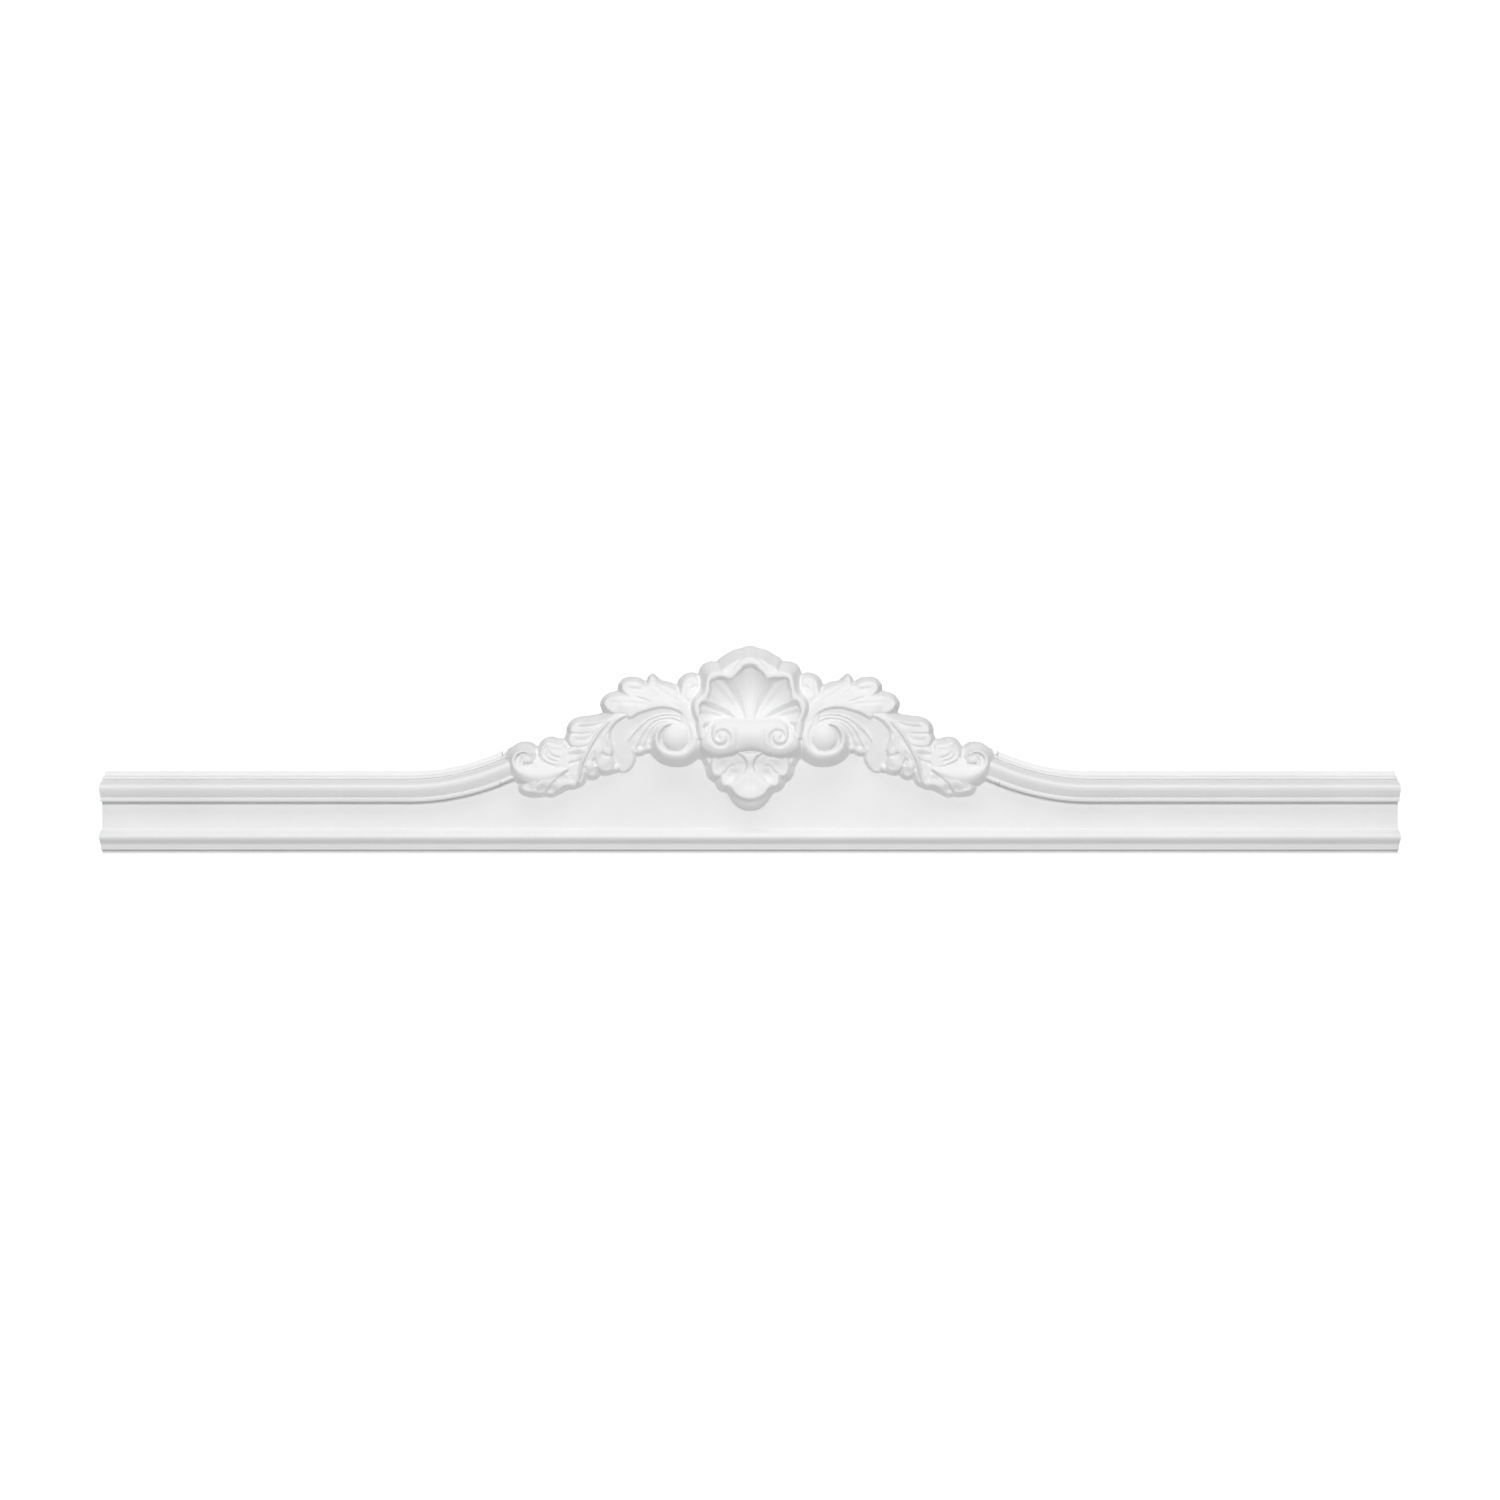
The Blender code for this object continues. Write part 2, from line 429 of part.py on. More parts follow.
def front_sheet(carved_step=0.0014, panel_rows=110):
    """Columns and rows for the front: rows follow the mouldings and spread out under the carving."""
    carved = CARVING_SPAN / 2 + 12 * UNIT
    climbing = CARVING_SPAN / 2 - 14 * UNIT + SWEEP_LENGTH
    half = np.concatenate((np.linspace(0, carved, round(carved / carved_step) + 1),
                           np.linspace(carved, climbing, 16)[1:], [(climbing + LENGTH / 2) / 2, LENGTH / 2]))
    columns = np.concatenate((-half[:0:-1], half))
    reach_x, reach_z = np.array(REACH).T
    reach = RUN_HEIGHT + (np.interp(np.abs(columns) / UNIT, reach_x, reach_z) - DRAWN_LINE) * UNIT
    rise, slope = sweep(columns)
    over_carving = np.abs(columns) / UNIT < reach_x[-1]
    top = np.where(over_carving, reach, RUN_HEIGHT + rise)
    stretch = np.where(over_carving, 1.0, np.sqrt(1 + slope**2))
    share = np.array(CROWN_SECTION)[::-1, 0]
    low = np.array(BASE_SECTION)[:, 0] * BASE_HEIGHT
    rows = [np.full(columns.shape, z) for z in low]
    crown_foot = top - CROWN_HEIGHT * stretch
    rows += [low[-1] + (crown_foot - low[-1]) * k for k in np.linspace(0, 1, panel_rows + 1)[1:]]
    rows += [top - CROWN_HEIGHT * stretch * k for k in share[1:]]
    z = np.array(rows)
    x = np.broadcast_to(columns, z.shape)
    down = z - RUN_HEIGHT
    carved_height = carved_heights(np.abs(x) / UNIT, down / UNIT + DRAWN_LINE)
    height = np.maximum(PANEL_DEPTH + (carved_height - DRAWN_PANEL) * UNIT, run_heights(x, z))
    return x, z, height


def with_skirt(x, z, height):
    """The sheet with a row or column added at each edge, straight down behind the wall."""
    x, z = np.pad(x, 1, mode="edge"), np.pad(z, 1, mode="edge")
    return x, z, np.pad(height, 1, constant_values=-0.004)


def sheet_object(name, x, z, height):
    """A grid primitive whose points are moved to the front's places; height comes out along -Y."""
    rows, columns = height.shape
    bpy.ops.mesh.primitive_grid_add(x_subdivisions=columns - 1, y_subdivisions=rows - 1, size=2)
    obj = bpy.context.object
    obj.name = name
    flat = np.empty(len(obj.data.vertices) * 3)
    obj.data.vertices.foreach_get("co", flat)
    place = flat.reshape(-1, 3)
    column = np.rint((place[:, 0] + 1) / 2 * (columns - 1)).astype(int)
    row = np.rint((place[:, 1] + 1) / 2 * (rows - 1)).astype(int)
    there = np.stack((x[row, column], -height[row, column], z[row, column] - RUN_HEIGHT / 2), 1)
    obj.data.vertices.foreach_set("co", there.ravel())
    obj.data.update()
    return obj


def cut_at_wall(obj):
    """Cuts away what lies behind the wall plane, and leaves the back open."""
    bm = bmesh.new()
    bm.from_mesh(obj.data)
    bmesh.ops.bisect_plane(bm, geom=bm.verts[:] + bm.edges[:] + bm.faces[:], dist=1e-6,
                           plane_co=(0, 0, 0), plane_no=(0, 1, 0), clear_outer=True)
    bm.to_mesh(obj.data)
    bm.free()


def thinned(obj, triangles):
    """The object's mesh thinned to about a number of triangles, alike on both sides."""
    thin = obj.modifiers.new("thin", "DECIMATE")
    thin.ratio = min(1.0, triangles / sum(len(p.vertices) - 2 for p in obj.data.polygons))
    thin.use_symmetry = True
    thin.symmetry_axis = 'X'
    mesh = bpy.data.meshes.new_from_object(obj.evaluated_get(bpy.context.evaluated_depsgraph_get()))
    obj.modifiers.remove(thin)
    obj.data = mesh


def close_back(obj):
    """Lays the open edge exactly on the wall plane and closes the flat back."""
    bm = bmesh.new()
    bm.from_mesh(obj.data)
    rim = [e for e in bm.edges if e.is_boundary]
    for v in {v for e in rim for v in e.verts}:
        v.co.y = 0
    back = bmesh.ops.holes_fill(bm, edges=rim, sides=0)["faces"]
    bmesh.ops.triangulate(bm, faces=back)
    bmesh.ops.recalc_face_normals(bm, faces=bm.faces[:])
    bm.to_mesh(obj.data)
    bm.free()


def white_paint():
    """The primed white that the casting is sold in."""
    paint = bpy.data.materials.new("primed white")
    paint.use_nodes = True
    shader = paint.node_tree.nodes["Principled BSDF"]
    shader.inputs["Base Color"].default_value = (0.86, 0.86, 0.85, 1)
    shader.inputs["Roughness"].default_value = 0.5
    shader.inputs["Metallic"].default_value = 0.0
    return paint


for old in list(bpy.data.objects):
    bpy.data.objects.remove(old, do_unlink=True)

pediment = sheet_object("pediment", *with_skirt(*front_sheet()))
cut_at_wall(pediment)
thinned(pediment, TRIANGLES)
close_back(pediment)
pediment.data.materials.clear()
pediment.data.materials.append(white_paint())
made = bpy.data.collections.new("door_pediment")
bpy.context.scene.collection.children.link(made)
for home in list(pediment.users_collection):
    home.objects.unlink(pediment)
made.objects.link(pediment)
print("pediment:", len(pediment.data.polygons), "faces, size",
      [round(d, 4) for d in pediment.dimensions], "run height", round(RUN_HEIGHT, 4))
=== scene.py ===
# %% [markdown]
# # A carved door pediment, worked out as one sheet of heights
#
# The real thing is one casting of hard foam, primed white, that hangs over a door. It came out of an open
# mould, so nothing on it is undercut: seen from the front, every place has exactly one height off the wall.
# That is the key to the whole lesson. The front is a function of two numbers, how far along and how high
# up, and all the carving is the highest of many simple forms laid over each other.
# The first cell loads the imported model, the fixed frame for everything that follows. It is the fixed
# frame in which everything has to stay.

# %% Load the frame
import math

import bmesh
import bpy
import numpy as np
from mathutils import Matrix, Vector


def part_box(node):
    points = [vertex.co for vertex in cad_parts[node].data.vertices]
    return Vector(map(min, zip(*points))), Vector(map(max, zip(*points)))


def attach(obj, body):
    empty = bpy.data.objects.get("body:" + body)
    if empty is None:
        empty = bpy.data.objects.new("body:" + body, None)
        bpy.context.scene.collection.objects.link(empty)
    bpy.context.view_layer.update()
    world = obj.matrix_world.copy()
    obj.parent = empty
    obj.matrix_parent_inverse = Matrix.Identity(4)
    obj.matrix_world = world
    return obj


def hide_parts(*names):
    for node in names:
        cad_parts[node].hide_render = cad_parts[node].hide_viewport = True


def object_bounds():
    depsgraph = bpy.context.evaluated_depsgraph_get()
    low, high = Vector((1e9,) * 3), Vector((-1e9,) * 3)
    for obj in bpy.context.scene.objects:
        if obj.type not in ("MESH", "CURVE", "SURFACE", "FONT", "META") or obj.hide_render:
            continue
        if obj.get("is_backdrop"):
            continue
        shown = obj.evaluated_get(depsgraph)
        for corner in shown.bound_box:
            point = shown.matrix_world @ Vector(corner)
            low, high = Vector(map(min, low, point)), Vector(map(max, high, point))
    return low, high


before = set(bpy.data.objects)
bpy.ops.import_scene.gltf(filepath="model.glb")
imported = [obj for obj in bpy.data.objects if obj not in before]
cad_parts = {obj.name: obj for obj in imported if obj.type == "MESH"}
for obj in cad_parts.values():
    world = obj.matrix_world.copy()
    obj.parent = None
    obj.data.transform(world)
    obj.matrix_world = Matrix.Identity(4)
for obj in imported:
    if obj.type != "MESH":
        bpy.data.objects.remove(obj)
cad_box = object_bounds()
solid_low, solid_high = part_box("pediment")
print("the packed solid runs from", [round(v, 4) for v in solid_low], "to", [round(v, 4) for v in solid_high])

# %% [markdown]
# ## The camera
#
# The photograph is taken square from the front, from about two and a half metres, with the lens at the
# height of the sprays: the ends show a little of their thickness, and nothing is seen from above.
# With the lens below, one pixel of the picture is one millimetre at the front of the mouldings.

# %% Camera
MM = 0.001
RUN_HEIGHT = 82.5
EYE_HEIGHT = 104.0
EYE_DISTANCE = 2.5
FRONT_OF_CROWN = 0.032

eye = bpy.data.cameras.new("eye")
eye.sensor_width = 36
eye.lens = 36 * (EYE_DISTANCE - FRONT_OF_CROWN) / 1.5
camera = bpy.data.objects.new("eye", eye)
camera.location = (0, -EYE_DISTANCE, (EYE_HEIGHT - RUN_HEIGHT / 2) * MM)
camera.rotation_euler = (math.pi / 2, 0, 0)
bpy.context.collection.objects.link(camera)
bpy.context.scene.camera = camera
print("lens", round(eye.lens, 2), "mm")

# %% [markdown]
# ## Curves through a few points
#
# A carver draws an outline with a few sweeping strokes. A cubic curve does the same from a handful of
# points: it passes through every one of them, and each stretch needs only its four nearest points.
# A second helper tells for many places at once how far they lie from such a curve.

# %% Curves and distances
def smooth_path(points, steps=8):
    """Points along the curve through the given ones.

    Between b and c, with neighbours a and d, and t from 0 to 1:
    half of (2 b + (c - a) t + (2 a - 5 b + 4 c - d) t squared + (3 b - a - 3 c + d) t cubed).
    """
    p = np.array(points, float)
    p = np.vstack((2 * p[0] - p[1], p, 2 * p[-1] - p[-2]))
    t = np.linspace(0, 1, steps, endpoint=False)[:, None]
    out = []
    for a, b, c, d in zip(p[:-3], p[1:-2], p[2:-1], p[3:]):
        bend = (2 * a - 5 * b + 4 * c - d) * t**2 + (3 * b - a - 3 * c + d) * t**3
        out.append(0.5 * (2 * b + (c - a) * t + bend))
    out.append(p[-2][None])
    return np.vstack(out)


def along_path(path, x, z):
    """For each place, its distance to the path and the share of the path run at its nearest place.

    On each straight piece the nearest place is the foot of the perpendicular, held between the two ends.
    """
    ends = path[1:] - path[:-1]
    run = np.maximum(np.hypot(ends[:, 0], ends[:, 1]), 1e-6)
    start = np.concatenate(([0.0], np.cumsum(run)))
    best = np.full(x.shape, np.inf)
    along = np.zeros(x.shape)
    for (px, pz), (ex, ez), length, before in zip(path[:-1], ends, run, start):
        k = np.clip(((x - px) * ex + (z - pz) * ez) / length**2, 0, 1)
        far = np.hypot(x - px - k * ex, z - pz - k * ez)
        closer = far < best
        best = np.where(closer, far, best)
        along = np.where(closer, before + k * length, along)
    return best, along / start[-1]


def within(path, x, z):
    """Whether each place lies inside a closed path: a line from it to the right crosses the path an odd
    number of times."""
    odd = np.zeros(x.shape, bool)
    for (ax, az), (bx, bz) in zip(path[:-1], path[1:]):
        if az != bz:
            odd ^= ((az > z) != (bz > z)) & (x < ax + (z - az) / (bz - az) * (bx - ax))
    return odd


circle = smooth_path([(math.cos(a), math.sin(a)) for a in np.linspace(0, 2 * math.pi, 9)])
stray = float(abs(np.hypot(*circle.T) - 1).max())
print("a round through 8 points strays from the circle by", round(stray, 4))

# %% [markdown]
# ## Four kinds of carved form
#
# Nearly everything on the ornament is one of four things: a face inside an outline, with a rounded rim and
# a side that falls away; a rib along a curve; a ball; and a line cut into a face. Each one knows its own
# height everywhere near it. The carving keeps the highest form at each place, as clay laid over clay would,
# so forms may overlap freely and nobody has to trim one against the other.

# %% Faces, ribs, balls and cut lines
PANEL = 20.0
SIDE_SLOPE = 2.0
FAR_BELOW = -60.0


class Form:
    """A form on its way to the sheet: its places, their heights, and which of them lie on its face."""

    def __init__(self, at, x, z, height, face):
        self.at, self.x, self.z, self.height, self.face = at, x, z, height, face

    def line(self, points, width, depth, fade=0.2):
        """Adds depth times exp(-(distance / width) squared) along a curve, faded in and out at its ends."""
        far, u = along_path(smooth_path(points), self.x, self.z)
        ends = np.clip(np.minimum(u, 1 - u) / fade, 0, 1)
        self.height = self.height + depth * ends * np.exp(-(far / width)**2) * self.face
        return self

    def lines(self, curves, width, depth, fade=0.2):
        for points in curves:
            self.line(points, width, depth, fade)
        return self


class Carving:
    """The highest form at each place. x runs along the pediment, z up from its bottom edge, in mm."""

    def __init__(self, x, z):
        self.x, self.z = x, z
        self.height = np.full(x.shape, FAR_BELOW)

    def near(self, low, high, margin=34):
        return np.flatnonzero((self.x > low[0] - margin) & (self.x < high[0] + margin)
                              & (self.z > low[1] - margin) & (self.z < high[1] + margin))

    def keep(self, at, height):
        self.height[at] = np.maximum(self.height[at], height)

    def add(self, form):
        self.keep(form.at, form.height)

    def face(self, edges, levels, roll=1.0, wide=2.0, slope=SIDE_SLOPE, blend=20.0):
        """A face inside edge curves that meet at corners.

        Its level is the mean of the spot heights, each weighted by (distance squared + blend) to the power
        of -1.5. Inside, a quarter round of height roll leads up to it over a width; outside, the side falls
        by slope.
        """
        path = np.vstack([smooth_path(edge) for edge in edges])
        path = np.vstack((path, path[:1]))
        at = self.near(path.min(0), path.max(0))
        x, z = self.x[at], self.z[at]
        far, u = along_path(path, x, z)
        inside = within(path, x, z)
        weights = [((x - px)**2 + (z - pz)**2 + blend)**-1.5 for px, pz, ph in levels]
        level = sum(w * spot[2] for w, spot in zip(weights, levels)) / sum(weights)
        v = np.clip(far / wide, 0, 1)
        top = level - roll + roll * np.sqrt(1 - (1 - v)**2)
        return Form(at, x, z, np.where(inside, top, level - roll - slope * far), inside)

    def cut(self, points, width, depth, fade=0.2):
        """Adds depth times exp(-(distance / width) squared) along a curve to all that is there."""
        path = smooth_path(points)
        at = self.near(path.min(0), path.max(0), 4 * width)
        far, u = along_path(path, self.x[at], self.z[at])
        ends = np.clip(np.minimum(u, 1 - u) / fade, 0, 1)
        self.height[at] += depth * ends * np.exp(-(far / width)**2) * (self.height[at] > PANEL)

    def rib(self, points, half_widths, heights, crown):
        """A rib whose section is level + crown (1 - v squared), with v the distance in half widths."""
        path = smooth_path(points)
        at = self.near(path.min(0), path.max(0), max(half_widths) + 34)
        far, u = along_path(path, self.x[at], self.z[at])
        half = np.interp(u, np.linspace(0, 1, len(half_widths)), half_widths)
        level = np.interp(u, np.linspace(0, 1, len(heights)), heights)
        v = np.clip(far / half, 0, 1)
        self.keep(at, level + crown * (1 - v**2) - SIDE_SLOPE * np.maximum(far - half, 0))

    def ball(self, centre, radius, height, crown):
        """A boss whose section is a flattened half round."""
        low, high = np.array(centre) - radius, np.array(centre) + radius
        at = self.near(low, high)
        far = np.hypot(self.x[at] - centre[0], self.z[at] - centre[1])
        v = np.clip(far / radius, 0, 1)
        self.keep(at, height + crown * np.sqrt(1 - v**2) - SIDE_SLOPE * np.maximum(far - radius, 0))


print("forms: face, rib, ball and line; sides fall", SIDE_SLOPE, "mm for each mm outward")

# %% [markdown]
# ## The shell
#
# A scallop opens downwards into its hinge. In polar places around the hinge, the rim is a radius that swells
# between the notches, the hollow drops behind the rim and rises again to the hinge, and a ridge runs from
# each notch. The ridges bend towards the hinge because the angle is stretched near it. A gable-shaped block
# stands behind the shell, and on its right shoulder the carver left a few folds.

# %% Shell
def carve_shell(sheet):
    """Rim: its radius is read at each angle from a smooth curve. Hollow: a floor that rises with the square
    towards the hinge and with a power of 3.2 towards the rim, plus a sharp ridge at each notch."""
    hinge = 118.0
    notch_angle = np.array([-15.7, 15.7, 51.0, 73.2, 91.0])
    rim_line = smooth_path([(-10, 72.6), (-5, 76.6), (0, 78.2), (5, 76.6), (10, 72.6), (15, 67.8), (20, 67.4),
                            (25, 70.2), (30, 73.0), (35, 72.8), (40, 68.2), (45, 63.6), (50, 62.2),
                            (55, 63.8), (60, 63.8), (65, 61.2), (70, 57.0), (74, 53.4), (80, 52.0),
                            (86, 50.6), (92, 49.6)])
    at = np.flatnonzero((np.abs(sheet.x) < 85) & (sheet.z > 95))
    x, z = sheet.x[at], sheet.z[at] - hinge
    r = np.hypot(x, z)
    angle = np.degrees(np.arctan2(np.abs(x), z))

    def lobe_share(a):
        k = np.clip(np.searchsorted(notch_angle, a) - 1, 0, 3)
        return np.clip((a - notch_angle[k]) / (notch_angle[k + 1] - notch_angle[k]), 0, 1)

    outer = np.interp(angle, *rim_line.T)
    rim_width = 7.6 - 2.0 * np.clip((angle - 10) / 20, 0, 1)
    ripple = 0.7 * np.sin(np.radians(angle) * 34 + np.sign(x)) * np.clip(angle / 16, 0, 1)
    inner = outer - rim_width + ripple
    rho = np.clip(r / inner, 0, 1)
    bend = 1 + (0.95 - 0.01 * angle) * (1 - rho)
    phi = 2 * lobe_share(np.minimum(angle * bend, 100)) - 1
    ridges = 4.8 * np.abs(phi)**5 + 0.9 * np.cos(3 * np.pi * phi) * rho
    hollow = 22.5 + 24.0 * (1 - rho)**2 + 17.0 * rho**3.2 + ridges * np.clip(rho * 1.8 - 0.15, 0, 1)
    hollow = np.minimum(hollow, 45.5 - 12.0 * np.clip((angle - 72) / 12, 0, 1))
    rim_height = 43.5 - 2.0 * np.clip((angle - 30) / 60, 0, 1)
    across = (r - (outer - rim_width / 2)) / (rim_width / 2)
    rim = rim_height + 0.6 * (1 - across**2)
    height = np.where(r < inner, np.maximum(hollow, rim_height - 3.5 * (inner - r)), rim)
    height = np.where(r > outer, rim_height - SIDE_SLOPE * (r - outer), height)
    gable = np.interp(angle, [0, 10, 20, 33, 40, 50, 90], [89.5, 87.5, 83.5, 77, 72, 66, 57])
    shoulder = np.exp(-((angle - 27) / 9)**2) * (x > 0)
    folds = 2.0 * np.sin(np.radians(angle) * 40) * shoulder
    behind = np.minimum(rim_height - 2.0, rim_height - SIDE_SLOPE * (r - gable + 12.0) + folds)
    height = np.where(r > inner + 1, np.maximum(height, behind), height)
    sheet.keep(at, np.where(z < -3, FAR_BELOW, height))


# %% [markdown]
# ## Console and drop
#
# Under the shell lies a rolled console: a cushion with a bowed outline, and a volute cut into each end as a
# spiral line whose radius shrinks with its turn. Below it hangs a drop of leaves, each a face of its own,
# the outer ones lower, so that the sides of the upper ones part them.

# %% Console and drop
def carve_console(sheet):
    """A face with a broad roll, minus a spiral line in each end."""
    half = [(0, 133), (24, 133), (33, 131.5), (40, 127), (45.5, 120.5), (49, 113.5), (48.5, 106.5),
            (43.5, 101.5), (36, 99), (28, 98.3), (18, 100), (8, 103.2), (0, 104.2)]
    edge = half + [(-x, z) for x, z in half[-2:0:-1]] + half[:1]
    form = sheet.face([edge], [(0, 120, 48.3), (-30, 117, 48.0), (30, 117, 48.0)], roll=9.5, wide=15)
    for s in (-1, 1):
        spiral = [(36, 129.5), (39, 124), (39, 117), (36.5, 111.5), (31.5, 108.5), (26, 109), (22, 113),
                  (21.5, 118.5), (25, 122.5), (30, 122.5), (33, 119), (31.5, 115.5), (28.5, 115.5)]
        form.line([(s * x, z) for x, z in spiral], 1.7, -3.4, fade=0.08)
        form.line([(s * 16, 131), (s * 13.5, 125), (s * 12.8, 115), (s * 13, 105)], 1.2, -1.1, fade=0.1)
        form.line([(s * 14.7, 128), (s * 15, 116), (s * 15.2, 106)], 1.4, 0.9, fade=0.1)
    sheet.add(form)


def carve_drop(sheet):
    """Three lobes a side and a middle leaf, with drilled eyes between the lobes and cut stems."""
    for s in (-1, 1):
        def side(*points):
            return [(s * p[0], *p[1:]) for p in points]

        outer = side((30, 106), (43, 104), (44, 97), (42.5, 91.5), (38.5, 89.5), (33, 92))
        sheet.add(sheet.face([outer], side((36, 102, 32), (42, 93, 30.5))))
        middle = side((0, 104), (24, 104), (35, 99), (38.5, 92), (38.5, 85), (36.5, 79.5),
                      (32, 77.7), (27, 79.5), (22.5, 83.5), (18, 88.5), (10, 91), (0, 91))
        levels = side((8, 98, 37), (24, 97, 37), (30, 89, 33), (35, 80.5, 35), (20, 91, 33.5))
        form = sheet.face([middle], levels, roll=1.4)
        form.line(side((14, 97), (26, 96.5), (35, 93)), 1.2, -0.8)
        form.line(side((24, 90), (30, 86), (34, 83)), 2.4, -0.9)
        sheet.add(form)
        inner = side((0, 101), (8, 100), (13, 94), (17, 89.5), (22, 84), (28, 78.5),
                     (29.3, 73.5), (27.5, 69), (23, 67.7), (18, 69), (10, 70), (0, 76))
        levels = side((6, 97, 37), (6, 86, 35.5), (14, 89, 34.2), (17, 80, 31.5),
                      (25, 70, 35), (27, 76, 34.5), (10, 76, 34))
        form = sheet.face([inner], levels, roll=1.4)
        sheet.add(form.line(side((13, 84), (18, 79), (23, 74.5)), 1.8, -0.8))
    half = [(12, 101), (7, 97), (3.8, 91), (3.8, 85), (7, 80), (12.5, 74.5), (19, 67.5)]
    foot = [(19, 66.5), (15, 60.5), (8, 56), (0, 54.5), (-8, 56), (-15, 60.5), (-19, 66.5)]
    levels = [(0, 98, 41.5), (0, 86, 39), (0, 72, 40), (0, 60, 41.5), (12, 66, 40.5), (-12, 66, 40.5)]
    form = sheet.face([half, foot, [(-x, z) for x, z in half[::-1]]], levels, roll=1.6, wide=2.5, slope=3)
    for s in (-1, 1):
        form.line([(s * 1.6, 90), (s * 1.6, 80), (s * 2.2, 64)], 0.9, -0.9)
        form.line([(s * 4.5, 84), (s * 4.8, 76), (s * 5.5, 66)], 1.0, -0.7)
    sheet.add(form)
    sheet.ball((0, 65.8), 21.8, 20, 18)
    for s in (-1, 1):
        between_lobes = [(14.5, 86.5), (17, 88.4), (21, 86.4), (24.5, 82), (29, 79)]
        beside_leaf = [(9, 99), (5, 94), (4, 88), (5.5, 82.5), (11, 75), (18, 69)]
        sheet.cut([(s * x, z) for x, z in between_lobes], 0.9, -2.4, fade=0.15)
        sheet.cut([(s * x, z) for x, z in beside_leaf], 0.8, -1.6)


# %% [markdown]
# ## The sprays
#
# Each spray is drawn once, for the right, and the function side puts it on either side. Its leaves are
# faces with corners at the notches, low at their tips and high at their midrib, with shallow veins cut in.

# %% Upper leaf
def carve_upper_leaf(sheet, side):
    """The ear beside the shell, and the broad leaf over the scroll."""
    ear = side((50, 119), (49, 139), (51, 158), (51.5, 169), (54, 175), (58.5, 177.2),
               (63.5, 176), (67.5, 172), (69, 165), (70, 154), (68, 119))
    levels = side((58, 139, 35.5), (60, 174, 31.0), (66, 168, 31), (60, 154, 34))
    form = sheet.face([ear], levels, roll=1.6, slope=2.4)
    form.line(side((54, 150), (52.5, 159), (54, 167.5), (58, 166), (57.5, 162)), 1.1, -1.6, 0.12)
    form.line(side((61, 152), (62, 161), (60, 170)), 2.4, 0.8)
    sheet.add(form)
    edges = [side((58, 119), (61, 149), (70, 157)),
             side((70, 157.5), (74, 163), (80, 166.7), (88, 169.5), (93, 172), (97, 177), (98.7, 178.4)),
             side((98.9, 178.4), (100.5, 176), (102, 170), (104, 167.5)),
             side((104, 168), (110, 171.3), (117, 173), (124, 172), (128, 169), (128, 164), (125, 160),
                  (121.5, 157.5)),
             side((121.5, 157), (128, 158.5), (135, 158), (142, 156), (146, 151.5), (145, 147), (141, 143),
                  (138, 141.5)),
             side((138, 141), (130, 140.8), (123, 139.5)),
             side((123, 139), (120, 136), (111, 141), (103, 143.5), (90, 146.5), (77, 145), (67, 139),
                  (60, 127))]
    levels = side((65, 145, 36), (100, 150, 37), (125, 147, 36), (98, 176, 23),
                  (96, 171, 30), (82, 165, 31), (118, 171, 30.5), (127, 166, 30.5),
                  (144, 152, 30.5), (134, 143, 33.5), (108, 143, 37.5), (85, 148, 37))
    form = sheet.face(edges, levels, roll=1.3, slope=2.4)
    veins = [side((68, 146), (86, 155), (108, 163), (122, 167)),
             side((70, 152), (84, 161), (96, 171)),
             side((100, 150), (118, 151), (140, 152))]
    notches = [side((121, 157.5), (112, 156), (96, 151)), side((103.5, 167.5), (99, 163), (90, 157))]
    swells = [side((104, 170), (112, 168), (122, 169)), side((76, 158), (88, 165), (97, 174))]
    form.lines(veins, 1.5, -0.8)
    form.lines(notches, 1.1, -1.7, 0.4)
    form.lines(swells, 1.6, 0.8)
    sheet.add(form)


